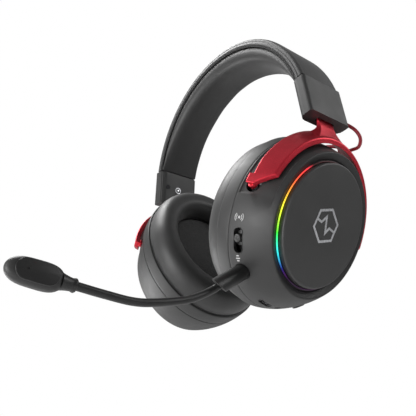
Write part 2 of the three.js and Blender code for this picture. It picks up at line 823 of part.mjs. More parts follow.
// Boom route in the headset's own axes, from the grip to the capsule.
const BOOM_ROUTE = [
  [40.8, -57.2, -175.2],
  [39.8, -60.2, -177.1],
  [39.5, -68.3, -181.1],
  [39.6, -77.6, -184.3],
  [39.5, -94.4, -187.3],
  [39.0, -105.9, -187.9],
  [38.5, -120.0, -186.2],
  [38.0, -132.6, -184.2],
];

const micBoom = () => cord(BOOM_ROUTE, MIC.boom, 8, 22);

// Capsule axes: X along the boom, Y out to the wearer's left, Z up.
const capsulePlace = (() => {
  const along = new THREE.Vector3(...BOOM_ROUTE.at(-1))
    .sub(new THREE.Vector3(...BOOM_ROUTE.at(-2)))
    .normalize();
  const left = new THREE.Vector3(1, 0, 0).addScaledVector(along, -along.x).normalize();
  const up = new THREE.Vector3().crossVectors(along, left);
  return new THREE.Matrix4().makeBasis(along, left, up).setPosition(...BOOM_ROUTE.at(-1));
})();

function micCollar() {
  return rod(2.9, 0.3, 5.2, 18).rotateY(90 * DEG).applyMatrix4(capsulePlace);
}

const CAPSULE = { start: 5.5, length: 25.5, width: 12.8, thick: 9.4 };

// A pebble-shaped capsule, blunt at both ends.
function micCapsule() {
  const rings = [];
  const around = 16;
  const stations = [0.42, 0.8, 1, 1, 0.94, 0.74, 0.44];
  stations.forEach((size, i) => {
    const share = (1 - Math.cos((i / (stations.length - 1)) * Math.PI)) / 2;
    const ring = [];
    for (let k = 0; k < around; k++) {
      const a = (2 * Math.PI * k) / around;
      const round = (value) => Math.sign(value) * Math.abs(value) ** 0.75;
      ring.push(new THREE.Vector3(
        CAPSULE.start + share * CAPSULE.length,
        (CAPSULE.thick / 2) * size * round(Math.cos(a)),
        (CAPSULE.width / 2) * size * round(Math.sin(a)),
      ));
    }
    rings.push(ring);
  });
  const outline = rings[0].map((p) => new THREE.Vector2(p.y, p.z));
  const whole = skin(rings, outline);
  const pockets = [-1, 1].map((side) => capsulePanel(side, 0.35, 2));
  return cut(whole, ...pockets).applyMatrix4(capsulePlace);
}

// A long panel let into one face of the capsule: its outer cover (1) or its voice grille (-1).
function capsulePanel(side, grow, proud) {
  const outline = stadium(17.5 + 2 * grow, 8.2 + 2 * grow);
  const depth = CAPSULE.thick / 2;
  return prism(outline, depth - 1.1 - grow, depth - 0.5 + proud)
    .rotateX(-90 * DEG * side)
    .translate(CAPSULE.start + CAPSULE.length / 2, 0, 0);
}

const micPanel = (side) => capsulePanel(side, 0, 0).applyMatrix4(capsulePlace);

// ---------------------------------------------------------------- electronics

function mainBoard() {
  const board = box([19, -20, -22], [20.4, 14, 22]);
  const chips = [
    box([20.3, -12, 4], [21.8, -2, 14]),
    box([20.3, 2, -12], [21.4, 9, -5]),
    box([20.3, -15, -16], [23.0, -8, -10]),
  ];
  return join(board, ...chips);
}

function battery() {
  const outline = roundedRectangle(34, 46, [3, 3, 3, 3]);
  return prism(outline, 17, 24).applyMatrix4(new THREE.Matrix4().makeBasis(
    new THREE.Vector3(0, 1, 0),
    new THREE.Vector3(0, 0, 1),
    new THREE.Vector3(1, 0, 0),
  ));
}

// ---------------------------------------------------------------- assembly

function node(name, geometry, material) {
  const mesh = new THREE.Mesh(tidy(geometry), material);
  mesh.name = name;
  return mesh;
}

function placed(matrix, ...nodes) {
  const group = new THREE.Group();
  matrix.decompose(group.position, group.quaternion, group.scale);
  return group.add(...nodes);
}

function capNodes(side) {
  return placed(
    capPlace,
    node(`${side}_cap_outer`, capOuter(), MATERIAL.matteBlack),
    node(`${side}_cap_inner`, capInner(), MATERIAL.matteBlack),
    node(`${side}_cap_screw`, capScrew(), MATERIAL.steel),
    node(`${side}_detent_spring`, detentSpring(), MATERIAL.steel),
  );
}

function cupNodes(side, shellCuts) {
  const glandHole = onRim(rod(LEAD.radius + 0.4, -6, 8, 12), GLAND.angle, GLAND.depth);
  return placed(
    cupPlace,
    node(`${side}_outer_shell`, outerShell(shellCuts), MATERIAL.matteBlack),
    node(`${side}_inner_housing`, innerHousing([glandHole]), MATERIAL.matteBlack),
    node(`${side}_baffle`, baffle(), MATERIAL.dark),
    node(`${side}_driver`, driver(), MATERIAL.foil),
    node(`${side}_speaker_cloth`, speakerCloth(), MATERIAL.cloth),
    node(`${side}_ear_cushion`, earCushion(), MATERIAL.leather),
    node(`${side}_outer_plate`, outerPlate(), MATERIAL.matteBlack),
    node(`${side}_light_ring`, lightRing(), MATERIAL.light),
    node(`${side}_emblem`, emblem(), MATERIAL.silver),
    node(`${side}_pivot_bush_front`, pivotBush(-1), MATERIAL.dark),
    node(`${side}_pivot_bush_rear`, pivotBush(1), MATERIAL.dark),
    node(`${side}_pivot_pin_front`, pivotPin(-1), MATERIAL.steel),
    node(`${side}_pivot_pin_rear`, pivotPin(1), MATERIAL.steel),
    node(`${side}_lead_lower`, lowerLead(), MATERIAL.redLead),
  );
}

function controlNodes() {
  return placed(
    cupPlace,
    node('main_board', mainBoard(), MATERIAL.board),
    node('mode_switch', modeSwitch(), MATERIAL.dark),
    node('power_button', powerButton(), MATERIAL.dark),
    node('mute_button', muteButton(), MATERIAL.dark),
    node('volume_wheel', volumeWheel(), MATERIAL.dark),
    node('usb_port', usbPort(), MATERIAL.steel),
    node('aux_jack', auxJack(), MATERIAL.dark),
    node('mic_socket', micSocket(), MATERIAL.dark),
    node('mic_plug', micPlug(), MATERIAL.steel),
    node('mic_housing', micHousing(), MATERIAL.dark),
  );
}

function sideNodes(side, shellCuts) {
  return [
    capNodes(side),
    cupNodes(side, shellCuts),
    node(`${side}_yoke`, yoke(), MATERIAL.red),
    node(`${side}_lead_upper`, upperLead(), MATERIAL.redLead),
  ];
}

const headset = new THREE.Group();
headset.add(
  node('headband_cover', headbandCover(), MATERIAL.leather),
  node('headband_pad', headbandPad(), MATERIAL.leather),
  node('spring_steel_band', springSteelBand(), MATERIAL.steel),
  node('headband_wire', headbandWire(), MATERIAL.dark),
  ...sideNodes('left', controlCuts()),
  controlNodes(),
  node('mic_boom', micBoom(), MATERIAL.dark),
  node('mic_collar', micCollar(), MATERIAL.dark),
  node('mic_capsule', micCapsule(), MATERIAL.dark),
  node('mic_cover_plate', micPanel(1), MATERIAL.dark),
  node('mic_grille', micPanel(-1), MATERIAL.cloth),
);

// The right side mirrors the left, without its controls.
const rightSide = new THREE.Group();
rightSide.scale.x = -1;
rightSide.add(...sideNodes('right', []), placed(cupPlace, node('battery', battery(), MATERIAL.foil)));
headset.add(rightSide);

export default headset;
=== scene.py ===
"""Looks of an over-ear gaming headset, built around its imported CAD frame.

Shapes are worked out in millimetres, in the frame's own axes: +Z is up, the wearer faces -Y, and +X is on the
wearer's left.
"""

import colorsys
import math
from types import SimpleNamespace as Sizes

import bmesh
import bpy
import numpy as np
from mathutils import Matrix, Vector, noise


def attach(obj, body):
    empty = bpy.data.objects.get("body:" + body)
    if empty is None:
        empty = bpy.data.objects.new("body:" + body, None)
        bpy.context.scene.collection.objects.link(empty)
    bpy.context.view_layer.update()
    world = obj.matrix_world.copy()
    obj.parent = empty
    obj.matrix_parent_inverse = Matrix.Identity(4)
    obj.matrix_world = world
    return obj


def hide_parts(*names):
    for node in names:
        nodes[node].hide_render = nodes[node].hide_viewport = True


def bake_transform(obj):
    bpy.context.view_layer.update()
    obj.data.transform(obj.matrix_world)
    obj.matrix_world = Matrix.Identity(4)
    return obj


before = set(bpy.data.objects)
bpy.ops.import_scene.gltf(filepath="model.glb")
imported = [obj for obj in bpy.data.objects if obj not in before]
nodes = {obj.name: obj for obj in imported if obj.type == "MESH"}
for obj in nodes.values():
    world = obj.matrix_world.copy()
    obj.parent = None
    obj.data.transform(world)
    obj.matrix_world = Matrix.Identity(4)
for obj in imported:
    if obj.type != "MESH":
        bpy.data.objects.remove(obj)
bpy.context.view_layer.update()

MM = 0.001
DEG = math.pi / 180
SIDES = ("left", "right")

# ---------------------------------------------------------------- sizes, in millimetres

BAND = Sizes(
    half_span=81.5, rise=85, width=33.5, crown_depth=16.5, end_depth=9.3, end_angle=75.7 * DEG,
    cover_wall=1.6, cover_side=5.1, pad_top=5.4,
)
BAND_CENTRE_Z = BAND.crown_depth - BAND.rise

CAP = Sizes(bottom=(78.2, 0, -76), lean=6.2 * DEG, depth=10, width=34.6, mark_z=13.2, lead_z=6.5)
TONGUE = Sizes(width=13, thick=1.6, length=32.6, inset=0.4)

CUP = Sizes(
    centre=(37.5, -3, -126.5), toe_in=22 * DEG, rake=18.3 * DEG, seam_radius=46, dome_length=58.4,
    dome_power=1.7, ovality=1.17, ovality_gain=0.001, split=9.45, rim=34.2, deck=31.8, wall=2.2, pivot=17,
)
PLATE = Sizes(radius=30.4, floor=32.2, face=36.6)
LIGHT = Sizes(inner=30.8, outer=31.35, groove=31.9, floor=32.15, face=33.0)
CUSHION = Sizes(inner=27.6, outer=44.6, crest=35, height=15.2, base=0.4)
RECESS = Sizes(
    start=10.65, end=31, low=-6.1, step=17.5, pivot_sink=0.7, sink=0.5, edge=0.3, soft_end=1.0, fade=8,
    fade_from=18, fade_to=24,
)

YOKE = Sizes(gap=1.0, top_gap=2.6, thick=3.2, tip=-1.2, neck=107 * DEG, neck_depth=23.5)
YOKE_INBOARD = ((-2, 15.6), (4.8, 15.6), (5.2, 18.2), (16, 17.3), (40, 17), (90, 18))
YOKE_OUTBOARD = ((-2, 20.6), (0, 21.4), (8.2, 29.6), (90, 29.2))
PIVOT = Sizes(pocket=4.4, bush=3.4, boss=2.4)
CLIP = Sizes(angle=82 * DEG, depth=16.5)
GLAND = Sizes(angle=87 * DEG, depth=6.2)
LEAD_RADIUS = 1.1

SLOT = Sizes(angle=216.5 * DEG, depth=16, length=13.6, width=5.2, offset=1.3)
POWER = Sizes(angle=322 * DEG, depth=17, radius=3.2)
MUTE = Sizes(angle=306 * DEG, depth=17, length=8, width=4.6)
WHEEL = Sizes(angle=341 * DEG, depth=17, radius=8, thick=3.4, proud=1.6)
USB = Sizes(angle=272 * DEG, depth=16)
AUX = Sizes(angle=286 * DEG, depth=16)

MIC = Sizes(angle=238 * DEG, depth=15.8, radius=4.6, lean=-9 * DEG, length=21, boom=2.0)
MIC_SLANT = Vector((0.45, -0.45, 0.77)).normalized()
BOOM_ROUTE = (
    (40.8, -57.2, -175.2), (39.8, -60.2, -177.1), (39.5, -68.3, -181.1), (39.6, -77.6, -184.3),
    (39.5, -94.4, -187.3), (39.0, -105.9, -187.9), (38.5, -120.0, -186.2), (38.0, -132.6, -184.2),
)
CAPSULE = Sizes(start=5.5, length=25.5, width=12.8, thick=9.4, panel_length=18.5, panel_width=9.4)

CAMERA = Sizes(
    place=(241.24, -222.98, -241.24), forward=(-0.72315, 0.57302, 0.38561), up=(0.32280, -0.21319, 0.92215),
    lens=44.97, shift_x=0.00885, shift_y=0.0054,
)
LAMPS = (  # name, place and size in metres, watts
    ("key", (-0.05, -1.0, -0.12), 0.55, 8),
    ("side", (-0.8, -0.3, -0.3), 0.5, 3.5),
    ("top", (-0.55, -0.25, 0.85), 0.55, 12),
    ("low", (0.7, -0.25, -0.6), 0.5, 4),
    ("fill", (0.7, 0.65, 0.4), 0.6, 3),
)

# ---------------------------------------------------------------- shapes: (points, faces)


def skin(rings, ends="cap"):
    """Faces through rings of equal counts. ends is cap, or loop where the last ring meets the first."""
    count = len(rings[0])
    spans = len(rings) if ends == "loop" else len(rings) - 1
    faces = []
    for r in range(spans):
        a = r * count
        b = ((r + 1) % len(rings)) * count
        for i in range(count):
            j = (i + 1) % count
            faces.append((a + i, a + j, b + j, b + i))
    if ends == "cap":
        last = (len(rings) - 1) * count
        faces.append(tuple(reversed(range(count))))
        faces.append(tuple(range(last, last + count)))
    return [Vector(p) for ring in rings for p in ring], faces


def shift(place):
    return Matrix.Translation(place)


def spin(angle, axis):
    return Matrix.Rotation(angle, 4, axis)


def moved(shape, matrix):
    return [matrix @ Vector(p) for p in shape[0]], shape[1]


def together(*shapes):
    points, faces = [], []
    for more_points, more_faces in shapes:
        start = len(points)
        points.extend(more_points)
        faces.extend(tuple(i + start for i in face) for face in more_faces)
    return points, faces


def rounded(points, radius, closed=True, steps=3, least_turn=14 * DEG):
    """An outline with its corners turned into short curves, but for turns under least_turn."""
    out = []
    for i, point in enumerate(points):
        here = Vector(point)
        before = Vector(points[i - 1]) - here
        after = Vector(points[(i + 1) % len(points)]) - here
        at_end = not closed and i in (0, len(points) - 1)
        if at_end or before.angle(-after) < least_turn:
            out.append(here)
            continue
        start = here + before.normalized() * min(radius, before.length * 0.45)
        end = here + after.normalized() * min(radius, after.length * 0.45)
        for k in range(steps + 1):
            t = k / steps
            out.append(start * (1 - t) ** 2 + here * (2 * t * (1 - t)) + end * t * t)
    return out


def inset(outline, amount):
    """An anticlockwise outline moved inwards."""
    out = []
    for i, point in enumerate(outline):
        along = (outline[(i + 1) % len(outline)] - outline[i - 1]).normalized()
        out.append(point + Vector((-along.y, along.x)) * amount)
    return out


def slab(outline, z0, z1, bevel=0.3, steps=3):
    """An outline raised along Z, with round edges."""
    rings = []
    for k in range(steps + 1):
        a = 90 * DEG * k / steps
        rings.append((bevel * (1 - math.sin(a)), z0 + bevel * (1 - math.cos(a))))
    rings += [(shrink, z0 + z1 - z) for shrink, z in reversed(rings)]
    return skin([[(p.x, p.y, z) for p in inset(outline, shrink)] for shrink, z in rings])


def rectangle(width, height, radius, steps=6):
    w, h = width / 2 - radius, height / 2 - radius
    out = []
    for x, y, start in ((w, h, 0), (-w, h, 90), (-w, -h, 180), (w, -h, 270)):
        for i in range(steps + 1):
            a = (start + 90 * i / steps) * DEG
            out.append(Vector((x + radius * math.cos(a), y + radius * math.sin(a))))
    return out


def stadium(length, width):
    return rectangle(length, width, width / 2 - 0.02)


def circle(radius, sides=40):
    return [Vector((radius * math.cos(a), radius * math.sin(a))) for a in turn(sides)]


def turn(count, start=0.0):
    return [start + 2 * math.pi * i / count for i in range(count)]


def rod(radius, z0, z1, bevel=0.3, sides=40):
    return slab(circle(radius, sides), z0, z1, bevel)


def ring_shape(radius, wire, sides=64, around=12, flat=1.0):
    """A round ring about Z."""
    rings = []
    for a in turn(sides):
        ring = []
        for b in turn(around):
            r = radius + wire * math.cos(b)
            ring.append((r * math.cos(a), r * math.sin(a), wire * flat * math.sin(b)))
        rings.append(ring)
    return skin(rings, "loop")


def through(points, count):
    """A smooth line through points, at even steps."""
    pts = [Vector(p) for p in points]
    pts = [pts[0] * 2 - pts[1], *pts, pts[-1] * 2 - pts[-2]]
    fine = []
    per_span = 12
    for i in range(1, len(pts) - 2):
        p0, p1, p2, p3 = pts[i - 1:i + 3]
        for k in range(per_span):
            t = k / per_span
            fine.append(0.5 * (2 * p1 + (p2 - p0) * t + (2 * p0 - 5 * p1 + 4 * p2 - p3) * t * t
                               + (3 * p1 - p0 - 3 * p2 + p3) * t ** 3))
    fine.append(pts[-2])
    run = [0.0]
    for a, b in zip(fine, fine[1:]):
        run.append(run[-1] + (b - a).length)
    places = np.linspace(0, run[-1], count)
    columns = [np.interp(places, run, [p[axis] for p in fine]) for axis in range(3)]
    return [Vector(p) for p in zip(*columns)]


def tube(line, radius, sides=16):
    """A round tube along a line. radius is a size, or a function of the share of the way."""
    size = radius if callable(radius) else lambda share: radius
    rings = []
    side = None
    for i, point in enumerate(line):
        along = (line[min(i + 1, len(line) - 1)] - line[max(i - 1, 0)]).normalized()
        side = side or along.orthogonal()
        side = (side - along * side.dot(along)).normalized()
        up = along.cross(side)
        r = size(i / (len(line) - 1))
        rings.append([point + (side * math.cos(a) + up * math.sin(a)) * r for a in turn(sides)])
    return skin(rings)


def between(pairs, x):
    return float(np.interp(x, [p[0] for p in pairs], [p[1] for p in pairs]))


def smooth_step(low, high, x):
    t = min(max((x - low) / (high - low), 0), 1)
    return t * t * (3 - 2 * t)


# ---------------------------------------------------------------- places

cap_place = shift(CAP.bottom) @ spin(-CAP.lean, "Y")
cup_place = (
    shift(CUP.centre)
    @ spin(CUP.toe_in, "Y")
    @ spin(-CUP.rake, "X")
)
MIRROR = Matrix.Scale(-1, 4, (1, 0, 0))


def shell_radius(depth):
    return CUP.seam_radius * math.sqrt(1 - (max(depth, 0) / CUP.dome_length) ** CUP.dome_power)


def stretch(depth):
    return CUP.ovality + CUP.ovality_gain * depth


def cup_point(radius, angle, depth):
    return Vector((depth, radius * math.cos(angle), radius * math.sin(angle) * stretch(depth)))


def rim_frame(angle, depth):
    """A spot on the shell: X along the rim, Y outwards from the ear, Z out of the surface."""
    def at(a, d):
        return cup_point(shell_radius(d), a, d)
    along = (at(angle + 0.01, depth) - at(angle - 0.01, depth)).normalized()
    outwards = (at(angle, depth + 0.1) - at(angle, depth - 0.1)).normalized()
    normal = outwards.cross(along).normalized()
    if normal.dot(at(angle, 0)) < 0:
        normal.negate()
    matrix = Matrix((along, normal.cross(along), normal)).transposed().to_4x4()
    matrix.translation = at(angle, depth)
    return matrix


def on_rim(shape, spot):
    """Puts a shape on the shell, in the cup's own axes."""
    return moved(shape, rim_frame(spot.angle, spot.depth))


def on_shell(shape, spot):
    """Puts a shape on the left shell, in the frame's axes."""
    return moved(on_rim(shape, spot), cup_place)


def oval(profile, segments=160, closed=True):
    """A profile of (radius, depth) turned about the cup's axis."""
    rings = [[cup_point(r, a, d) for a in turn(segments)] for r, d in profile]
    return skin(rings, "loop" if closed else "none")


def band_point(angle, y, depth):
    normal = Vector((math.sin(angle) / BAND.half_span, math.cos(angle) / BAND.rise)).normalized()
    return Vector((
        BAND.half_span * math.sin(angle) - depth * normal.x,
        y,
        BAND_CENTRE_Z + BAND.rise * math.cos(angle) - depth * normal.y,
    ))


def band_depth(share):
    fullness = 1 - abs(share) ** 2.6
    return BAND.end_depth + (BAND.crown_depth - BAND.end_depth) * fullness


# ---------------------------------------------------------------- materials


class Look:
    """A Principled material whose detail is worked out in the frame's own space."""

    def __init__(self, name, color, roughness, metallic=0.0, **sockets):
        self.material = bpy.data.materials.new(name)
        self.material.use_nodes = True
        self.tree = self.material.node_tree
        self.shader = self.tree.nodes["Principled BSDF"]
        self.place = self.add("ShaderNodeTexCoord").outputs["Object"]
        self.set("Base Color", (*color, 1))
        self.set("Roughness", roughness)
        self.set("Metallic", metallic)
        for socket, value in sockets.items():
            self.set(socket.replace("_", " ").title().replace("Ior", "IOR"), value)

    def add(self, kind, **settings):
        node = self.tree.nodes.new(kind)
        for key, value in settings.items():
            setattr(node, key, value)
        return node

    def set(self, socket, value):
        if isinstance(value, bpy.types.NodeSocket):
            self.tree.links.new(value, self.shader.inputs[socket])
        else:
            self.shader.inputs[socket].default_value = value

    def wire(self, node, **inputs):
        for socket, value in inputs.items():
            place = node.inputs[socket.replace("_", " ").title()]
            if isinstance(value, bpy.types.NodeSocket):
                self.tree.links.new(value, place)
            else:
                place.default_value = value
        return node

    def noise(self, scale, detail=3.0, roughness=0.55, place=None):
        node = self.add("ShaderNodeTexNoise")
        self.wire(node, vector=place or self.place, scale=scale, detail=detail, roughness=roughness)
        return node.outputs[0]

    def cells(self, scale, feature="F1", place=None):
        node = self.add("ShaderNodeTexVoronoi", feature=feature)
        return self.wire(node, vector=place or self.place, scale=scale).outputs["Distance"]

    def stretched(self, x, y, z):
        node = self.add("ShaderNodeMapping")
        return self.wire(node, vector=self.place, scale=(x, y, z)).outputs[0]

    def span(self, value, low, high, out_low, out_high):
        node = self.add("ShaderNodeMapRange")
        return self.wire(
            node, value=value, from_min=low, from_max=high, to_min=out_low, to_max=out_high,
        ).outputs[0]

    def colors(self, value, *stops):
        node = self.add("ShaderNodeValToRGB")
        self.tree.links.new(value, node.inputs[0])
        ramp = node.color_ramp.elements
        for i, (share, color) in enumerate(stops):
            stop = ramp[i] if i < 2 else ramp.new(share)
            stop.position = share
            stop.color = (*color, 1)
        return node.outputs[0]

    def math(self, operation, a, b):
        node = self.add("ShaderNodeMath", operation=operation)
        for i, value in enumerate((a, b)):
            if isinstance(value, bpy.types.NodeSocket):
                self.tree.links.new(value, node.inputs[i])
            else:
                node.inputs[i].default_value = value
        return node.outputs[0]

    def mixed(self, first, first_share, second, second_share):
        """The sum of two values, each times its share."""
        parts = (self.math("MULTIPLY", first, first_share), self.math("MULTIPLY", second, second_share))
        return self.math("ADD", *parts)

    def vary_roughness(self, value, smooth, rough):
        self.set("Roughness", self.span(value, 0.3, 0.7, smooth, rough))

    def relief(self, *layers):
        """Bumps on the surface, from (height, depth in metres) layers."""
        normal = None
        for height, depth in layers:
            node = self.wire(self.add("ShaderNodeBump"), height=height, strength=1.0, distance=depth)
            if normal:
                self.tree.links.new(normal, node.inputs["Normal"])
            normal = node.outputs[0]
        self.set("Normal", normal)


def grey(value):
    return (value, value, value)


def times(color, factor):
    return tuple(min(c * factor, 1) for c in color)


def leather(name, shade, roughness, grain_scale, grain_depth):
    """Coated leatherette: fine pebbles, soft creases and a little sheen."""
    sheen = {"sheen_weight": 0.12, "sheen_roughness": 0.45}
    look = Look(name, grey(shade), roughness, specular_ior_level=0.45, **sheen)
    pebbles = look.cells(grain_scale, "DISTANCE_TO_EDGE")
    raised = look.span(pebbles, 0.0, 0.16, 0, 1)
    creases = look.noise(240, 5, 0.6)
    clouds = look.noise(26, 3)
    look.set("Base Color", look.colors(
        look.mixed(raised, 0.3, clouds, 1.0),
        (0.25, grey(shade * 0.72)), (0.75, grey(shade * 1.12)), (1.0, grey(shade * 1.3)),
    ))
    worn = look.mixed(clouds, 1.0, creases, 0.5)
    look.set("Roughness", look.span(worn, 0.4, 1.1, roughness + 0.07, roughness - 0.06))
    look.relief((raised, grain_depth), (creases, grain_depth))
    return look.material


def moulded(name, shade, roughness, grain=0.00003, grain_scale=2400):
    """Spark-eroded plastic: an even fine grain with faint handling marks."""
    look = Look(name, grey(shade), roughness, specular_ior_level=0.5)
    grain_height = look.noise(grain_scale, 2, 0.7)
    marks = look.noise(70, 4, 0.6)
    look.set("Base Color", look.colors(
        look.mixed(grain_height, 0.4, marks, 0.6), (0.3, grey(shade * 0.86)), (0.7, grey(shade * 1.14)),
    ))
    look.vary_roughness(marks, roughness - 0.05, roughness + 0.06)
    look.relief((grain_height, grain))
    return look.material


def anodised(name, color, roughness):
    """Satin bead-blasted metal under a coloured coat."""
    look = Look(name, color, roughness, metallic=0.82, coat_weight=0.12, coat_roughness=0.3)
    flakes = look.cells(2600)
    clouds = look.noise(45, 3)
    look.set("Base Color", look.colors(
        look.mixed(flakes, 0.5, clouds, 0.6), (0.25, times(color, 0.8)), (0.75, times(color, 1.18)),
    ))
    look.vary_roughness(clouds, roughness - 0.04, roughness + 0.05)
    look.relief((flakes, 0.00002))
    return look.material


def rubber(name, color, roughness):
    """Soft rubber with a faint dust on it."""
    look = Look(name, color, roughness, specular_ior_level=0.45)
    dust = look.noise(160, 4, 0.65)
    skin_grain = look.noise(1500, 2)
    dusty = tuple(c * 1.25 + 0.004 for c in color)
    look.set("Base Color", look.colors(dust, (0.3, times(color, 0.85)), (0.8, dusty)))
    look.vary_roughness(dust, roughness - 0.05, roughness + 0.08)
    look.relief((skin_grain, 0.00002))
    return look.material


def metal(name, color, roughness, streaks=(900, 900, 60)):
    """Bare metal with fine drawn lines."""
    look = Look(name, color, roughness, metallic=1.0)
    lines = look.noise(1.0, 3, 0.6, look.stretched(*streaks))
    look.set("Base Color", look.colors(lines, (0.3, times(color, 0.82)), (0.7, times(color, 1.08))))
    look.vary_roughness(lines, roughness - 0.06, roughness + 0.08)
    look.relief((lines, 0.000015))
    return look.material


def acoustic_cloth(name, shade):
    """Knitted speaker cloth: an even net of tiny holes."""
    look = Look(name, grey(shade), 0.95, sheen_weight=0.25, sheen_roughness=0.6)
    weave = look.cells(1250, "F1", look.stretched(1, 1, 0.85))
    threads = look.span(weave, 0.15, 0.55, 1, 0)
    look.set("Base Color", look.colors(threads, (0.15, grey(shade * 0.35)), (0.85, grey(shade * 1.5))))
    look.relief((threads, 0.0002), (look.noise(90, 2), 0.0003))
    return look.material


def lit_diffuser(name):
    """The light ring's milky bar, lit from behind in the colours painted on its mesh."""
    look = Look(name, (0.8, 0.8, 0.8), 0.35)
    paint = look.add("ShaderNodeAttribute", attribute_name="glow").outputs["Color"]
    look.set("Base Color", paint)
    look.set("Emission Color", paint)
    look.set("Emission Strength", 1.0)
    look.vary_roughness(look.noise(400, 2), 0.3, 0.42)
    return look.material


def printed(name, color):
    """Screen print, worn a little thin in spots."""
    look = Look(name, color, 0.6)
    wear = look.noise(900, 4, 0.7)
    look.set("Base Color", look.colors(wear, (0.3, times(color, 0.75)), (0.55, color)))
    return look.material


def board(name):
    """Green solder mask with paler tracks under it."""
    look = Look(name, (0.02, 0.12, 0.05), 0.45)
    tracks = look.cells(500, "DISTANCE_TO_EDGE")
    look.set("Base Color", look.colors(tracks, (0.04, (0.07, 0.25, 0.09)), (0.1, (0.012, 0.08, 0.03))))
    return look.material


LOOKS = {
    "band_leather": leather("band_leather", 0.019, 0.48, 2000, 0.00001),
    "cushion_leather": leather("cushion_leather", 0.019, 0.46, 2200, 0.00001),
    "matte_plastic": moulded("matte_plastic", 0.02, 0.5),
    "plate_plastic": moulded("plate_plastic", 0.034, 0.45, 0.00002),
    "dark_plastic": moulded("dark_plastic", 0.009, 0.4, 0.00002),
    "yoke_red": anodised("yoke_red", (0.56, 0.024, 0.042), 0.36),
    "lead_red": rubber("lead_red", (0.3, 0.018, 0.03), 0.42),
    "boom_rubber": rubber("boom_rubber", grey(0.009), 0.38),
    "steel": metal("steel", (0.6, 0.6, 0.62), 0.3),
    "black_steel": metal("black_steel", (0.03, 0.03, 0.032), 0.5),
    "silver": metal("silver", (0.78, 0.79, 0.82), 0.26),
    "light": lit_diffuser("light"),
    "acoustic_cloth": acoustic_cloth("acoustic_cloth", 0.014),
    "driver_body": moulded("driver_body", 0.05, 0.5),
    "board_green": board("board_green"),
    "battery_wrap": metal("battery_wrap", (0.5, 0.52, 0.55), 0.45),
    "thread": rubber("thread", grey(0.04), 0.7),
    "print": printed("print", (0.5, 0.5, 0.5)),
}

# ---------------------------------------------------------------- pieces


def finish_mesh(mesh, sharp=38):
    """Welds a mesh, turns its faces outwards and shades it smooth but for its sharp edges."""
    work = bmesh.new()
    work.from_mesh(mesh)
    bmesh.ops.remove_doubles(work, verts=work.verts, dist=1e-6)
    bmesh.ops.recalc_face_normals(work, faces=work.faces)
    work.to_mesh(mesh)
    work.free()
    mesh.shade_smooth()
    mesh.set_sharp_from_angle(angle=sharp * DEG)


def new_object(name, shape, sharp=38):
    """A mesh object in metres from a shape in millimetres."""
    mesh = bpy.data.meshes.new(name)
    mesh.from_pydata([tuple(p * MM) for p in shape[0]], [], shape[1])
    finish_mesh(mesh, sharp)
    thing = bpy.data.objects.new(name, mesh)
    bpy.context.scene.collection.objects.link(thing)
    return thing


def dress(thing, look, slot, body, *stands_for):
    """Gives a piece its material, the body that it rides on and the CAD nodes that it replaces."""
    thing.data.materials.clear()
    thing.data.materials.append(LOOKS[look])
    if body:
        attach(thing, body)
    if stands_for:
        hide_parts(*stands_for)
    return thing


def piece(name, shape, look, slot, body, *stands_for, sharp=38):
    """A new piece from a shape in millimetres, dressed at once."""
    return dress(new_object(name, shape, sharp), look, slot, body, *stands_for)


def sided(shape, side):
    return moved(shape, MIRROR) if side == "right" else shape


def keep_modified(thing):
    """Makes what the modifiers show into the mesh itself."""
    shown = thing.evaluated_get(bpy.context.evaluated_depsgraph_get())
    mesh = bpy.data.meshes.new_from_object(shown)
    old = thing.data
    thing.modifiers.clear()
    thing.data = mesh
    bpy.data.meshes.remove(old)


def cut_away(thing, tool_shape):
    """Cuts a shape out of a piece."""
    tool = new_object("cutting_tool", tool_shape)
    cut = thing.modifiers.new("cut", "BOOLEAN")
    cut.operation = "DIFFERENCE"
    cut.solver = "EXACT"
    cut.use_self = True
    cut.object = tool
    keep_modified(thing)
    bpy.data.objects.remove(tool)
    thing.data.shade_smooth()
    thing.data.set_sharp_from_angle(angle=32 * DEG)


def softened(thing, width, segments=3):
    """Rounds the sharp edges of a CAD node or a piece."""
    bevel = thing.modifiers.new("round_edges", "BEVEL")
    bevel.width = width * MM
    bevel.segments = segments
    bevel.limit_method = "ANGLE"
    bevel.angle_limit = 35 * DEG
    bevel.harden_normals = True
    bevel.use_clamp_overlap = True
    return thing


def keep_node(name, look, edge=0.0):
    """Shows a CAD node as it is, with a real material and softened edges."""
    node = nodes[name]
    node.data.materials.clear()
    node.data.materials.append(LOOKS[look])
    if edge:
        softened(node, edge, 2)
    return node


def evened(move, edges, rounds):
    """Evens out how far the points moved, so that folds stay and ripples from point to point go."""
    for _ in range(rounds):
        total = move.copy()
        count = np.ones((len(move), 1))
        for here, there in (edges.T, edges.T[::-1]):
            np.add.at(total, here, move[there])
            np.add.at(count, here, 1)
        move = total / count
    return move


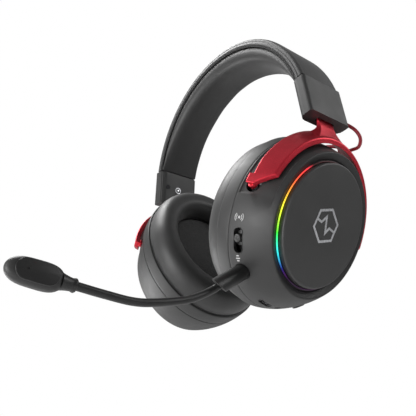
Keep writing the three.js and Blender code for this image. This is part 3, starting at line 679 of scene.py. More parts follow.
def puff(thing, pinned, pressure, slack, reach):
    """Blows a closed skin up as cloth over foam. pinned says which points stay, and reach caps the rest."""
    grow, frames, rounds = 10.0, 20, 6
    start = np.array([v.co for v in thing.data.vertices])
    thing.data.transform(Matrix.Scale(grow, 4))
    group = thing.vertex_groups.new(name="pinned")
    group.add([i for i, point in enumerate(start / MM) if pinned(point)], 1.0, "REPLACE")
    cloth = thing.modifiers.new("cloth", "CLOTH")
    settings = cloth.settings
    settings.use_pressure = True
    settings.uniform_pressure_force = pressure
    settings.vertex_group_mass = "pinned"
    settings.shrink_min = -slack
    settings.effector_weights.gravity = 0
    settings.tension_stiffness = 20
    settings.compression_stiffness = 20
    settings.bending_stiffness = 0.8
    cloth.point_cache.frame_start = 1
    cloth.point_cache.frame_end = frames
    scene = bpy.context.scene
    for step in range(1, frames + 1):
        scene.frame_set(step)
    keep_modified(thing)
    end = np.array([v.co for v in thing.data.vertices]) / grow
    move = end - start
    far = np.linalg.norm(move, axis=1, keepdims=True)
    move *= np.minimum(1, reach * MM / np.maximum(far, 1e-9))
    move = evened(move, np.array([edge.vertices[:] for edge in thing.data.edges]), rounds)
    thing.data.vertices.foreach_set("co", (start + move).ravel())
    thing.vertex_groups.clear()
    thing.data.update()
    scene.frame_set(1)


def refine(thing):
    """Halves every face of a piece along smooth curves."""
    more = thing.modifiers.new("refine", "SUBSURF")
    more.levels = 1
    keep_modified(thing)
    thing.data.shade_smooth()


# ---------------------------------------------------------------- headband


def along_band(steps, section_at):
    """A section of (y, depth) swept from one end of the band to the other."""
    rings = []
    for i in range(steps + 1):
        share = -1 + 2 * i / steps
        rings.append([band_point(share * BAND.end_angle, y, depth) for y, depth in section_at(share)])
    return skin(rings)


def headband_cover():
    """The outer leatherette strip, turned down over both edges, with a bead along each lower edge."""
    half = BAND.width / 2
    inside = half - BAND.cover_wall
    bead = 0.18
    wall, low = BAND.cover_wall, BAND.cover_side
    right = [
        (0, wall), (inside, wall), (inside, low), (half - 0.1, low), (half + bead, low - 0.8),
        (half + bead, low - 1.7), (half - 0.15, 2.9), (half, 1.7), (half - 0.5, 0.55), (half - 1.8, 0.0),
        (half - 2.6, 0.12), (half - 3.4, 0.0),
    ]
    left = [(-y, depth) for y, depth in reversed(right[1:])]
    section = rounded(right + left, 0.7)
    shape = along_band(150, lambda share: section)
    piece("headband_cover_skin", shape, "band_leather", "band_leather", "root", "headband_cover")


def pad_section(share):
    """The pad's section, thinner towards the band's ends. Every one has the same number of points."""
    half, top, depth = BAND.width / 2 - 0.5, BAND.pad_top, band_depth(share)
    right = [
        (half - 3.4, top), (half - 0.9, top + 0.25), (half, top + 1.5), (half, (top + depth) / 2),
        (half - 2.4, depth - 1.7), (half - 8, depth - 0.35),
    ]
    left = [(-y, d) for y, d in reversed(right)]
    return rounded([*right, (0, depth), *left], 2.4, least_turn=-1)


def headband_pad():
    pad = new_object("headband_pad_cover", along_band(110, pad_section), 80)
    ends = BAND.half_span * math.sin(BAND.end_angle) - 6
    puff(pad, lambda p: abs(p[0]) > ends, pressure=4, slack=0.01, reach=0.45)
    refine(pad)
    dress(pad, "band_leather", "band_leather", "root", "headband_pad")


def stitch_size(share):
    """A stitch is thick in the middle and thin where it enters the leather."""
    return 0.36 * math.sin(math.pi * (0.12 + 0.76 * share)) ** 0.5


def stitches():
    """A row of thread along the seam between cover and pad, at the front and at the back."""
    pitch, bow, covered = 2.7, 0.45, 0.36
    half = BAND.width / 2 - 0.55
    seam = BAND.pad_top + 0.42
    end = BAND.end_angle - 3 * DEG
    count = int(BAND.half_span * 2 * end / pitch)
    step = 2 * end / count
    shapes = []
    for side in (-1, 1):
        for i in range(count):
            middle = -end + step * (i + 0.5)
            spots = [(middle + covered * step * t, half + bow * (1 - t * t)) for t in (-1, -0.5, 0, 0.5, 1)]
            shapes.append(tube([band_point(a, side * y, seam) for a, y in spots], stitch_size, 6))
    piece("headband_stitches", together(*shapes), "thread", "band_leather", "root", sharp=70)


def piping():
    """The piped edge of the pad, just under the stitches, at the front and at the back."""
    y, depth = BAND.width / 2 - 0.95, BAND.pad_top + 0.05
    angles = np.linspace(-1, 1, 90) * BAND.end_angle
    shapes = [tube([band_point(a, side * y, depth) for a in angles], 0.42, 10) for side in (-1, 1)]
    piece("headband_piping", together(*shapes), "thread", "band_leather", "root", sharp=70)


# ---------------------------------------------------------------- end caps


def ring_mark(side):
    """A plain ring printed on the inner face of a cap."""
    shape = together(ring_shape(2.3, 0.32, 48, 8, 0.35), rod(0.8, -0.05, 0.1, 0.04, 24))
    place = cap_place @ shift((-CAP.depth / 2, -1.4, CAP.mark_z)) @ spin(-90 * DEG, "Y")
    piece(f"{side}_cap_mark", sided(moved(shape, place), side), "silver", "silver", "root")


def caps(side):
    keep_node(f"{side}_cap_outer", "matte_plastic", 0.6)
    keep_node(f"{side}_cap_inner", "matte_plastic", 0.5)
    keep_node(f"{side}_cap_screw", "black_steel")
    keep_node(f"{side}_detent_spring", "steel")
    ring_mark(side)
    place = cap_place @ shift((0.6, CAP.width / 2 + 0.05, CAP.lead_z)) @ spin(-90 * DEG, "X")
    grommet = sided(moved(ring_shape(LEAD_RADIUS + 0.45, 0.5, 32, 10), place), side)
    piece(f"{side}_lead_grommet", grommet, "boom_rubber", "dark_plastic", "root")


# ---------------------------------------------------------------- ear cups


def shell_depths():
    """Depths of the shell's rows, closest where the recess starts and ends."""
    rows = list(np.linspace(CUP.split + 0.35, CUP.rim - 0.9, 26))
    for stop in (RECESS.start, RECESS.end):
        rows += [stop + RECESS.edge * k for k in (-1, -0.4, 0.4, 1)]
    return sorted(rows)


def shell_angles():
    """Angles of the shell's columns, closest at the ends of the recess and of its deeper part."""
    columns = list(np.arange(1, 361, 2.0))
    for stop in (RECESS.low, RECESS.step, 180 - RECESS.step, 180 - RECESS.low):
        columns += [(stop + k) % 360 for k in (-1, -0.35, 0, 0.35, 1)]
    return [a * DEG for a in sorted(columns)]


def recess(angle, depth):
    """How deep the yoke's track is sunk into the shell."""
    up = math.degrees(angle)
    up = up - 360 if up > 270 else up
    up = min(up, 180 - up)
    r = RECESS
    below = r.soft_end + r.fade * smooth_step(r.fade_from, r.fade_to, depth)
    inside = smooth_step(r.start - r.edge, r.start + r.edge, depth)
    inside *= 1 - smooth_step(r.end - r.edge, r.end + r.edge, depth)
    inside *= smooth_step(r.low - below, r.low + r.soft_end, up)
    shallow = smooth_step(r.step - 0.35, r.step + 0.35, up)
    return inside * (r.pivot_sink + (r.sink - r.pivot_sink) * shallow)


def along_y(shape, side):
    """Lays a Z-axis shape on the pivot line, towards the front (-1) or the back (1)."""
    return moved(shape, shift((CUP.pivot, 0, 0)) @ spin(-90 * DEG * side, "X"))


def outer_shell_shape():
    angles = shell_angles()
    edge = shell_radius(CUP.split + 0.15)
    rim = shell_radius(CUP.rim)
    inner = [(shell_radius(d) - CUP.wall, d) for d in np.linspace(CUP.deck - CUP.wall, CUP.split, 6)]
    lip = rounded([
        (shell_radius(CUP.rim - 0.9), CUP.rim - 0.9), (rim - 0.05, CUP.rim), (rim - 0.7, CUP.rim),
        (LIGHT.groove + 0.25, CUP.deck + 0.7), (LIGHT.groove + 0.15, CUP.deck), (LIGHT.inner - 1, CUP.deck),
    ], 0.55, closed=False, steps=4)
    profile = [(0.0, CUP.deck - CUP.wall), *inner, (edge - 0.3, CUP.split), (edge - 0.05, CUP.split + 0.15)]
    rings = [[cup_point(r, a, d) for a in angles] for r, d in profile]
    for depth in shell_depths():
        rings.append([cup_point(shell_radius(depth) - recess(a, depth), a, depth) for a in angles])
    rings += [[cup_point(p[0], a, p[1]) for a in angles] for p in lip[1:]]
    rings.append([cup_point(0.0, a, CUP.deck) for a in angles])
    return skin(rings, "none")


def pocket_tools():
    radius = shell_radius(CUP.pivot)
    for side in (-1, 1):
        yield along_y(rod(PIVOT.pocket, radius - 2.4, 60, 0.01, 48), side)
        yield along_y(rod(PIVOT.bush + 0.3, 30, radius - 2.0, 0.01, 40), side)


def control_tools():
    """Openings in the left shell, one for each control and socket."""
    wheel_gap = WHEEL.thick / 2 + 0.4
    return [
        on_rim(slab(stadium(SLOT.length, SLOT.width), -8, 8, 0.01), SLOT),
        on_rim(rod(POWER.radius + 0.35, -8, 8, 0.01), POWER),
        on_rim(slab(stadium(MUTE.length + 0.7, MUTE.width + 0.7), -8, 8, 0.01), MUTE),
        on_rim(slab(rectangle(16.4, 2 * wheel_gap, 0.8), -9, 9, 0.01), WHEEL),
        on_rim(slab(stadium(9.6, 3.8), -8, 8, 0.01), USB),
        on_rim(rod(2.3, -8, 8, 0.01), AUX),
        on_rim(rod(MIC.radius + 0.45, -1.1, 8, 0.01, 56), MIC),
    ]


def outer_shell(side):
    shell = new_object(f"{side}_shell", outer_shell_shape(), 30)
    tools = list(pocket_tools())
    if side == "left":
        tools += control_tools()
    cut_away(shell, together(*tools))
    shell.data.transform(in_frame(side))
    if side == "right":
        shell.data.flip_normals()
    dress(shell, "matte_plastic", "matte_plastic", f"{side}_cup", f"{side}_outer_shell")


def in_frame(side):
    """Carries a mesh in metres from the left cup's axes to a cup's place in the frame."""
    scale = Matrix.Scale(MM, 4)
    place = scale @ cup_place @ scale.inverted()
    return MIRROR @ place if side == "right" else place


def on_cup(name, shape, side, look, slot, *stands_for, sharp=38):
    shape = sided(moved(shape, cup_place), side)
    piece(name, shape, look, slot, f"{side}_cup", *stands_for, sharp=sharp)


def inner_housing(side):
    to = CUP.split - 0.12
    outer = [(shell_radius(d), d) for d in np.linspace(0.5, to - 0.35, 8)]
    lip = shell_radius(to) - CUP.wall
    profile = [
        (CUP.seam_radius - 0.45, 0.0), *outer, (shell_radius(to) - 0.3, to), (lip, to), (lip, 4.4),
        (39, 4.4), (39, 2.6), (43.6, 2.6), (43.6, 0),
    ]
    shape = oval(rounded(profile, 0.3, steps=2), 200)
    on_cup(f"{side}_housing", shape, side, "matte_plastic", "matte_plastic", f"{side}_inner_housing")


def cushion_profile():
    """The cushion's profile from its inner foot over its crest to its outer foot."""
    c = CUSHION
    steps, power, outer_power = 12, 0.72, 0.9
    rise = c.height - c.base
    turns = [90 * DEG * i / steps for i in range(steps + 1)]
    profile = [(c.inner + 0.8, -c.base)]
    for a in turns[1:]:
        reach = (c.crest - c.inner) * math.cos(a) ** power
        profile.append((c.crest - reach, -c.base - rise * math.sin(a) ** power))
    for a in reversed(turns[:-1]):
        reach = (c.outer - c.crest) * math.cos(a) ** power
        profile.append((c.crest + reach, -c.base - rise * math.sin(a) ** outer_power))
    return profile


def cushion_mesh():
    """An ear cushion, blown up once as cloth and used for both cups."""
    tuck = 0.5
    profile = cushion_profile()
    profile = [(profile[0][0], -0.25), *profile, (CUSHION.outer - 0.6, -0.25)]
    cushion = new_object("cushion_form", oval(profile, 132), 180)
    for vertex in cushion.data.vertices:
        point = vertex.co / MM
        crease = noise.noise(Vector((point.x * 0.05, point.y * 0.12, point.z * 0.12)))
        vertex.co += vertex.normal * (crease * 0.35 - 0.1) * MM * tuck
    puff(cushion, lambda p: p[0] > -0.9, pressure=5, slack=0.05, reach=0.9)
    refine(cushion)
    return cushion


def ear_cushion(form, side):
    cushion = bpy.data.objects.new(f"{side}_cushion_cover", form.data.copy())
    bpy.context.scene.collection.objects.link(cushion)
    cushion.data.transform(in_frame(side))
    if side == "right":
        cushion.data.flip_normals()
    dress(cushion, "cushion_leather", "cushion_leather", f"{side}_cup", f"{side}_ear_cushion")
    bead = [(CUSHION.outer - 0.05 + 0.3 * math.cos(a), -0.3 + 0.28 * math.sin(a)) for a in turn(10)]
    on_cup(f"{side}_cushion_piping", oval(bead, 180), side, "cushion_leather", "cushion_leather")


def speaker_cloth(side):
    rings = []
    for share in np.linspace(0, 1, 22):
        radius = 27 * share
        rings.append((radius, -1.9 - 0.5 * (1 - share ** 2) + 0.45 * smooth_step(0.92, 1, share)))
    profile = [*rings, (27.0, -0.7), (0.0, -0.7)]
    shape = oval(profile, 120, closed=False)
    on_cup(f"{side}_cloth", shape, side, "acoustic_cloth", "acoustic_cloth", f"{side}_speaker_cloth")


def outer_plate(side):
    p = PLATE
    profile = rounded([
        (0, p.floor), (p.radius - 0.6, p.floor), (p.radius, p.floor + 0.6), (p.radius, p.face - 0.7),
        (p.radius - 0.7, p.face), (0, p.face),
    ], 0.5, closed=False, steps=4)
    shape = oval(profile, 200, closed=False)
    on_cup(f"{side}_plate", shape, side, "plate_plastic", "matte_plastic", f"{side}_outer_plate")


# Hue and brightness of the light by degrees round the cup, counted from its back over its top to its front.
GLOW_HUES = (
    (90, 355), (137, 358), (154, 362), (164, 368), (174, 382), (183, 400), (189, 414), (214, 472), (235, 543),
    (247, 590), (256, 635), (300, 660), (450, 715),
)
GLOW_STRENGTHS = (
    (90, 0.02), (133, 0.03), (142, 1), (230, 1), (240, 0.6), (250, 0.12), (260, 0.02), (450, 0.02),
)


def light_ring(side):
    """The light bar in the groove, painted with one turn of the rainbow from top to bottom."""
    inner, outer, low, high = LIGHT.inner, LIGHT.outer, LIGHT.floor, LIGHT.face
    shape = oval(rounded([(outer, low), (outer, high), (inner, high), (inner, low)], 0.2), 240)
    glow = []
    for point in shape[0]:
        angle = math.degrees(math.atan2(point.z, point.y)) % 360
        angle = angle if angle > 90 else angle + 360
        hue = between(GLOW_HUES, angle) / 360 % 1
        glow.append((*colorsys.hsv_to_rgb(hue, 0.95, between(GLOW_STRENGTHS, angle)), 1.0))
    thing = new_object(f"{side}_light_bar", sided(moved(shape, cup_place), side))
    paint = thing.data.color_attributes.new("glow", "FLOAT_COLOR", "POINT")
    paint.data.foreach_set("color", [value for color in glow for value in color])
    dress(thing, "light", "light", f"{side}_cup", f"{side}_light_ring")


def cup_internals(side):
    keep_node(f"{side}_baffle", "dark_plastic")
    keep_node(f"{side}_driver", "driver_body")
    keep_node(f"{side}_emblem", "silver", 0.12)
    for end in ("front", "rear"):
        keep_node(f"{side}_pivot_bush_{end}", "dark_plastic", 0.2)
        keep_node(f"{side}_pivot_pin_{end}", "steel", 0.2)


# ---------------------------------------------------------------- yokes


def yoke_point(depth, angle, height):
    """A spot at a height over the yoke's underside, in the cup's axes."""
    gap = YOKE.gap + (YOKE.top_gap - YOKE.gap) * math.sin(angle) ** 2
    radius = shell_radius(depth)
    return Vector((
        depth,
        (radius + gap + height) * math.cos(angle),
        (radius * stretch(depth) + gap + height) * math.sin(angle),
    ))


def yoke_arch():
    """The arch from pivot to pivot, flat in section with two chamfered edges."""
    stops = sorted({YOKE.tip, 0, 4.8, 5.2, 8.2, *np.arange(2, 90, 2.0), 90})
    angles = stops + [180 - a for a in reversed(stops[:-1])]
    chamfer = 0.45
    rings = []
    for degrees in angles:
        up = min(degrees, 180 - degrees)
        inboard, outboard = between(YOKE_INBOARD, up), between(YOKE_OUTBOARD, up)
        section = [
            (inboard, 0), (outboard, 0), (outboard, YOKE.thick - chamfer), (outboard - chamfer, YOKE.thick),
            (inboard + chamfer, YOKE.thick), (inboard, YOKE.thick - chamfer),
        ]
        rings.append([yoke_point(d, degrees * DEG, h) for d, h in section])
    return skin(rings)


def yoke_neck():
    """A neck that spreads in a smooth curve from the slider tongue onto the arch."""
    narrow, wide = 0.13, 0.37
    thin, thick = 1.2, 5.4
    across = np.linspace(-1, 1, 9)
    corners = [(u, 1) for u in across] + [(u, -1) for u in reversed(across)]
    rings = []
    for t in np.linspace(0, 1, 20):
        half_angle = narrow + (wide - narrow) * t ** 2.4
        half_deep = thin + (thick - thin) * t ** 0.9
        ring = []
        for u, w in corners:
            top = cap_place @ Vector((w * 1.05 - TONGUE.inset, u * TONGUE.width / 2, -0.5))
            foot = cup_place @ yoke_point(YOKE.neck_depth + w * half_deep, YOKE.neck - u * half_angle, 1.8)
            ring.append(top.lerp(foot, t))
        rings.append(ring)
    points, faces = skin(rings, "none")
    for start in (0, len(points) - len(corners)):
        end = start + len(corners) - 1
        faces += [(start + i, start + i + 1, end - i - 1, end - i) for i in range(len(across) - 1)]
    return points, faces


def clip_place():
    """Where the yoke holds the lead, in the cup's axes."""
    return shift(yoke_point(CLIP.depth, CLIP.angle, YOKE.thick + 0.5))


def clip_end(past):
    """A spot on the lead's line through the clip, in the frame's axes."""
    return cup_place @ clip_place() @ Vector((0, past, 0))


def yoke(side):
    """Arch, neck, tongue and lead clip melted into one casting, and the two pivot bosses."""
    tongue = slab(rectangle(TONGUE.thick, TONGUE.width, 0.3, 2), -1.5, TONGUE.length, 0.2)
    tongue = moved(tongue, cap_place @ shift((-TONGUE.inset, 0, 0)))
    clip = moved(ring_shape(2.2, 0.62, 32, 10, 1.9), clip_place() @ spin(90 * DEG, "X"))
    in_cup = [moved(shape, cup_place) for shape in (yoke_arch(), clip)]
    thing = new_object(f"{side}_yoke_body", sided(together(*in_cup, yoke_neck(), tongue), side))
    remesh = thing.modifiers.new("one_casting", "REMESH")
    remesh.mode = "VOXEL"
    remesh.voxel_size = 0.24 * MM
    settle = thing.modifiers.new("settle", "SMOOTH")
    settle.factor = 0.5
    settle.iterations = 3
    fewer = thing.modifiers.new("fewer_faces", "DECIMATE")
    fewer.ratio = 0.4
    keep_modified(thing)
    thing.data.shade_smooth()
    dress(thing, "yoke_red", "yoke_red", f"{side}_yoke", f"{side}_yoke")
    radius = shell_radius(CUP.pivot)
    bosses = [along_y(rod(PIVOT.boss, radius - 1.6, radius + YOKE.gap + 0.2, 0.25), end) for end in (-1, 1)]
    shape = sided(moved(together(*bosses), cup_place), side)
    piece(f"{side}_yoke_bosses", shape, "yoke_red", "yoke_red", f"{side}_yoke")


# ---------------------------------------------------------------- leads


def lead_ends(side, *spots):
    """Spots in millimetres on the left lead, as places in metres on a side's lead."""
    return sided(([spot * MM for spot in spots], []), side)[0]


def upper_lead(side):
    """From the back of the cap, out in a loop and in to the clip on the yoke."""
    route = [
        cap_place @ Vector((0.6, 14.2, CAP.lead_z)), cap_place @ Vector((0.6, 20, CAP.lead_z)),
        (81.6, 24.5, -74.2), (83.0, 26.6, -80.0), (81.4, 26.0, -85.4), (76.6, 25.6, -85.6),
        clip_end(3), clip_end(0.0),
    ]
    thing = new_object(f"{side}_lead_loop", sided(tube(through(route, 90), LEAD_RADIUS, 18), side), 70)
    dress(thing, "lead_red", "lead_red", None, f"{side}_lead_upper")
    start, end = lead_ends(side, route[0], clip_end(0.6))
    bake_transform(thing)
    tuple(start)
    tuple(end)


def lower_lead(side):
    """From the clip down to the gland on the inner half of the cup."""
    gland = rim_frame(GLAND.angle, GLAND.depth) @ Vector((0, 0, 1.2))
    start = cup_place.inverted() @ clip_end(0.0)
    route = [
        start, (CLIP.depth, start.y - 1.8, start.z), (CLIP.depth - 2.6, start.y - 4.2, start.z - 0.8),
        (gland.x + 0.4, gland.y + 0.2, gland.z + 1.8), gland,
    ]
    line = [cup_place @ p for p in through(route, 50)]
    thing = new_object(f"{side}_lead_short", sided(tube(line, LEAD_RADIUS, 18), side), 70)
    dress(thing, "lead_red", "lead_red", None, f"{side}_lead_lower")
    start, end = lead_ends(side, line[0], line[-1])
    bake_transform(thing)
    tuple(start)
    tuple(end)
    sleeve = tube([Vector((0, 0, z)) for z in np.linspace(-0.6, 1.5, 8)], lambda share: 2.1 - 0.6 * share, 28)
    on_cup(f"{side}_gland", on_rim(sleeve, GLAND), side, "boom_rubber", "dark_plastic")


# ---------------------------------------------------------------- controls and sockets


def left_piece(name, shape):
    """A dark plastic piece that is fixed to the left shell."""
    on_cup(name, shape, "left", "dark_plastic", "dark_plastic")


def bezel(name, outline, spot, radius, bend):
    """A thin bead round an opening in the left shell, bent to lie on its curve."""
    line = [Vector((p.x, p.y, -0.1 - bend * p.x ** 2)) for p in outline]
    on_cup(name, on_rim(tube_loop(line, radius), spot), "left", "dark_plastic", "dark_plastic", sharp=60)


def mode_switch():
    """A sliding knob with grip ribs over a dark base, in a slot with a thin bezel."""
    knob = [slab(stadium(4.6, 3.8), -3.6, 1.0, 0.5, 4), slab(rectangle(8.4, 6.8, 0.6), -5.0, -3.5, 0.2)]
    for x in (-1, 0, 1):
        rib = slab(rectangle(0.45, 2.4, 0.2, 3), 0.8, 1.35, 0.15)
        knob.append(moved(rib, shift((x, 0, 0))))
    shape = on_shell(moved(together(*knob), shift((-SLOT.offset, 0, 0))), SLOT)
    piece("mode_knob", shape, "plate_plastic", "dark_plastic", "mode_switch", "mode_switch")
    backing = slab(stadium(SLOT.length + 1.5, SLOT.width + 1.5), -6.2, -5.3, 0.1)
    left_piece("left_slot_backing", on_rim(backing, SLOT))
    bezel("left_slot_bezel", stadium(SLOT.length + 0.5, SLOT.width + 0.5), SLOT, 0.2, 0.003)


def tube_loop(line, radius, sides=8):
    """A thin closed bead along a flat loop about Z."""
    rings = []
    for i, point in enumerate(line):
        along = (line[(i + 1) % len(line)] - line[i - 1]).normalized()
        up = Vector((0, 0, 1))
        out = along.cross(up).normalized()
        rings.append([point + (out * math.cos(a) + up * math.sin(a)) * radius for a in turn(sides)])
    return skin(rings, "loop")


def wave_sign(proud):
    """A dot with two arcs on both sides."""
    shapes = [rod(0.75, -0.3, proud, 0.03, 20)]
    for radius in (1.7, 2.7):
        for middle in (90, 270):
            sweep = np.linspace(middle - 48, middle + 48, 12) * DEG
            arc = [Vector((radius * math.cos(a), radius * math.sin(a), proud - 0.12)) for a in sweep]
            shapes.append(tube(arc, 0.26, 8))
    return together(*shapes)


def bar_sign(proud):
    """Three bars, the middle one the longest."""
    bars = ((-1.4, 1.6), (0, 2.6), (1.4, 1.6))
    return together(*[
        moved(slab(rectangle(0.7, width, 0.25), -0.3, proud, 0.03), shift((x, 0, 0))) for x, width in bars
    ])


def signs():
    """Plain printed signs at the two ends of the slot."""
    proud = 0.06
    for name, sign, angle in (("waves", wave_sign(proud), 202.0), ("bars", bar_sign(proud), 228.2)):
        shape = moved(sign, rim_frame(angle * DEG, SLOT.depth - 0.6))
        on_cup(f"left_slot_sign_{name}", shape, "left", "print", "silver")


def buttons():
    """Each button is a cap over a wider foot that keeps it in the shell."""
    power = [
        rod(POWER.radius, -3.0, 0.9, 0.45), rod(POWER.radius + 1.2, -4.2, -2.9, 0.2),
        moved(ring_shape(1.5, 0.16, 40, 8), shift((0, 0, 0.9))),
    ]
    mute = [
        slab(stadium(MUTE.length, MUTE.width), -3.1, 0.8, 0.4),
        slab(stadium(MUTE.length + 2, MUTE.width + 2), -4.3, -3.0, 0.2),
        moved(rod(0.5, 0.6, 0.95, 0.12, 20), shift((-2, 0, 0))),
    ]
    for name, shapes, spot in (("power", power, POWER), ("mute", mute, MUTE)):
        body = f"{name}_button"
        piece(f"{name}_cap", on_shell(together(*shapes), spot), "dark_plastic", "dark_plastic", body, body)


def volume_wheel():
    """A thumb wheel with a toothed rim."""
    teeth, points_each, tooth = 36, 6, 0.42
    outline = []
    for a in turn(teeth * points_each):
        radius = WHEEL.radius - tooth * max(0.0, math.cos(teeth * a)) ** 2
        outline.append(Vector((radius * math.cos(a), radius * math.sin(a))))
    half = WHEEL.thick / 2
    wheel = moved(slab(outline, -half, half, 0.35), spin(90 * DEG, "X"))
    wheel = moved(wheel, shift((0, 0, WHEEL.proud - WHEEL.radius)))
    shape = on_shell(wheel, WHEEL)
    piece("volume_roller", shape, "dark_plastic", "dark_plastic", "volume_wheel", "volume_wheel")


def sockets():
    keep_node("main_board", "board_green")
    keep_node("battery", "battery_wrap", 0.6)
    keep_node("usb_port", "steel", 0.15)
    keep_node("mic_socket", "dark_plastic", 0.2)
    keep_node("aux_jack", "dark_plastic", 0.2)
    keep_node("mic_plug", "steel", 0.2)
    left_piece("left_usb_contact", on_rim(slab(rectangle(6.4, 0.7, 0.2), -6.6, -1.6, 0.1), USB))
    bezel("left_usb_bezel", stadium(9.7, 3.9), USB, 0.22, 0.006)
    bezel("left_aux_bezel", circle(2.35), AUX, 0.22, 0.006)


# ---------------------------------------------------------------- microphone


def mic_housing():
    """A round grip with a slanted end and a collar where it meets the cup."""
    lean = spin(MIC.lean, "Y")
    whole = moved(rod(MIC.radius, 0, 36, 0.2, 64), lean)
    collar = rod(MIC.radius + 0.1, -0.8, 1.2, 0.25, 64)
    grip = new_object("mic_grip", on_shell(together(whole, collar), MIC))
    end = lean @ Vector((0, 0, MIC.length))
    cut_place = shift(end) @ MIC_SLANT.to_track_quat("Z", "Y").to_matrix().to_4x4()
    cut_away(grip, on_shell(moved(slab(rectangle(60, 60, 1), 0, 40, 0.01), cut_place), MIC))
    softened(grip, 0.35)
    dress(grip, "dark_plastic", "dark_plastic", "mic_base", "mic_housing")
    line = [end + MIC_SLANT * z for z in np.linspace(-1.5, 0.25, 6)]
    sleeve = on_shell(tube(line, lambda share: 2.6 - 0.4 * share, 32), MIC)
    piece("mic_strain_relief", sleeve, "boom_rubber", "boom_rubber", "mic_base")


def boom():
    """The bendable stalk, drawn as a tube along a route that curves over a short stretch next to the grip."""
    base = cup_place @ rim_frame(MIC.angle, MIC.depth) @ spin(MIC.lean, "Y")
    line = through([base @ Vector((0, 0, MIC.length - 1.5)), *BOOM_ROUTE], 160)
    thing = new_object("mic_stalk", tube(line, MIC.boom, 24), 70)
    dress(thing, "boom_rubber", "boom_rubber", None, "mic_boom")
    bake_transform(thing)


def capsule_place():
    along = (Vector(BOOM_ROUTE[-1]) - Vector(BOOM_ROUTE[-2])).normalized()
    left = (Vector((1, 0, 0)) - along * along.x).normalized()
    matrix = Matrix((along, left, along.cross(left))).transposed().to_4x4()
    matrix.translation = BOOM_ROUTE[-1]
    return matrix


def pebble():
    """The capsule's outside: blunt at the far end, drawn in a little towards the boom."""
    rings = []
    steps = 36
    for i in range(steps + 1):
        share = (1 - math.cos(math.pi * i / steps)) / 2
        end = (1 - abs(2 * share - 1) ** 3.4) ** 0.5
        size = max(end, 0.02) * (1.0 - 0.1 * share)
        ring = []
        for a in turn(56):
            c, s = math.cos(a), math.sin(a)
            ring.append((
                CAPSULE.start + share * CAPSULE.length,
                CAPSULE.thick / 2 * size * math.copysign(abs(c) ** 0.78, c),
                CAPSULE.width / 2 * size * math.copysign(abs(s) ** 0.78, s),
            ))
        rings.append(ring)
    return skin(rings)


def capsule_side(side, share):
    """The way out of one face of the capsule, at a share of its length."""
    return shift((CAPSULE.start + CAPSULE.length * share, 0, 0)) @ spin(-90 * DEG * side, "X")


def capsule_panel(side, grow, low, high, bevel):
    """A long panel in one face of the capsule: its outer cover (1) or its voice grille (-1)."""
    outline = stadium(CAPSULE.panel_length + 2 * grow, CAPSULE.panel_width + 2 * grow)
    half = CAPSULE.thick / 2
    return moved(slab(outline, half + low, half + high, bevel), capsule_side(side, 0.5))


def collar_size(share):
    """The collar's radius: a lip, a waist, and a flare towards the capsule."""
    lip = 0.5 * smooth_step(0.0, 0.1, share) - 0.45 * smooth_step(0.12, 0.3, share)
    return 2.75 + lip + 1.1 * share ** 2


def capsule():
    place = capsule_place()
    body = new_object("mic_capsule_shell", moved(pebble(), place))
    pockets = [moved(capsule_panel(end, 0.3, -0.75, 3, 0.01), place) for end in (-1, 1)]
    cut_away(body, together(*pockets))
    dress(body, "matte_plastic", "matte_plastic", "mic_arm", "mic_capsule")
    cover = new_object("mic_capsule_panel", moved(capsule_panel(1, 0, -1.1, -0.3, 0.25), place))
    cut_away(cover, moved(rod(0.45, 3, 8, 0.01, 24), place @ capsule_side(1, 0.66)))
    dress(cover, "dark_plastic", "dark_plastic", "mic_arm", "mic_cover_plate")
    grille = moved(capsule_panel(-1, 0, -1.1, -0.35, 0.2), place)
    piece("mic_capsule_grille", grille, "acoustic_cloth", "acoustic_cloth", "mic_arm", "mic_grille")
    collar = tube([Vector((x, 0, 0)) for x in np.linspace(0.2, 7.2, 14)], collar_size, 40)
    piece("mic_neck", moved(collar, place), "dark_plastic", "dark_plastic", "mic_arm", "mic_collar")


# ---------------------------------------------------------------- camera, lights and floor


def camera():
    forward, up = Vector(CAMERA.forward), Vector(CAMERA.up)
    data = bpy.data.cameras.new("camera")
    data.sensor_width = 36
    data.lens = CAMERA.lens
    data.shift_x = CAMERA.shift_x
    data.shift_y = CAMERA.shift_y
    data.clip_start = 0.01
    thing = bpy.data.objects.new("camera", data)
    right = forward.cross(up).normalized()
    matrix = Matrix((right, right.cross(forward), -forward)).transposed().to_4x4()
    matrix.translation = Vector(CAMERA.place) * MM
    thing.matrix_world = matrix
    bpy.context.scene.collection.objects.link(thing)
    bpy.context.scene.camera = thing


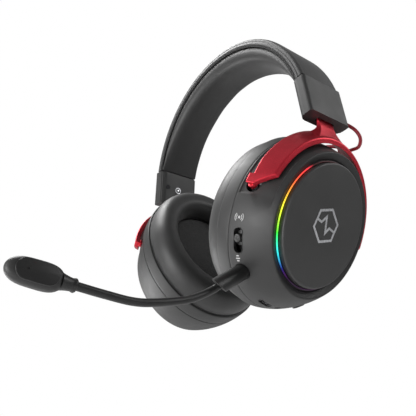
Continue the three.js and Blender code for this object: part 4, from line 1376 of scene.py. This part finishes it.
def lamp(name, place, size, power, aim=(0.02, -0.02, -0.1)):
    data = bpy.data.lights.new(name, "AREA")
    data.shape = "DISK"
    data.size = size
    data.energy = power
    thing = bpy.data.objects.new(name, data)
    thing.location = place
    thing.rotation_euler = (Vector(aim) - Vector(place)).to_track_quat("-Z", "Y").to_euler()
    bpy.context.scene.collection.objects.link(thing)


def background(tree, strength):
    node = tree.nodes.new("ShaderNodeBackground")
    node.inputs["Color"].default_value = (1, 1, 1, 1)
    node.inputs["Strength"].default_value = strength
    return node.outputs[0]


def studio():
    """Soft lamps in a white room. The room looks plain white but lights the headset only a little."""
    world = bpy.data.worlds.new("studio")
    bpy.context.scene.world = world
    world.use_nodes = True
    tree = world.node_tree
    mix = tree.nodes.new("ShaderNodeMixShader")
    ray = tree.nodes.new("ShaderNodeLightPath")
    tree.links.new(ray.outputs["Is Camera Ray"], mix.inputs[0])
    tree.links.new(background(tree, 0.3), mix.inputs[1])
    tree.links.new(background(tree, 1.0), mix.inputs[2])
    tree.links.new(mix.outputs[0], tree.nodes["World Output"].inputs["Surface"])
    bpy.context.scene.view_settings.view_transform = "Standard"
    for name, place, size, power in LAMPS:
        lamp(name, place, size, power)


def floor():
    depth = -0.42
    half = 4
    mesh = bpy.data.meshes.new("floor")
    corners = [(x * half, y * half, depth) for x, y in ((-1, -1), (1, -1), (1, 1), (-1, 1))]
    mesh.from_pydata(corners, [], [(0, 1, 2, 3)])
    thing = bpy.data.objects.new("floor", mesh)
    bpy.context.scene.collection.objects.link(thing)
    look = Look("floor", (0.82, 0.82, 0.82), 0.9)
    look.set("Base Color", look.colors(look.noise(2.0, 2), (0.3, grey(0.8)), (0.7, grey(0.84))))
    mesh.materials.append(look.material)


# ---------------------------------------------------------------- the headset

camera()
studio()
floor()

headband_cover()
headband_pad()
stitches()
piping()
keep_node("spring_steel_band", "steel")
keep_node("headband_wire", "dark_plastic")

cushion_form = cushion_mesh()
for side in SIDES:
    caps(side)
    outer_shell(side)
    inner_housing(side)
    ear_cushion(cushion_form, side)
    speaker_cloth(side)
    outer_plate(side)
    light_ring(side)
    cup_internals(side)
    yoke(side)
    upper_lead(side)
    lower_lead(side)
bpy.data.objects.remove(cushion_form)

mode_switch()
signs()
buttons()
volume_wheel()
sockets()
mic_housing()
boom()
capsule()
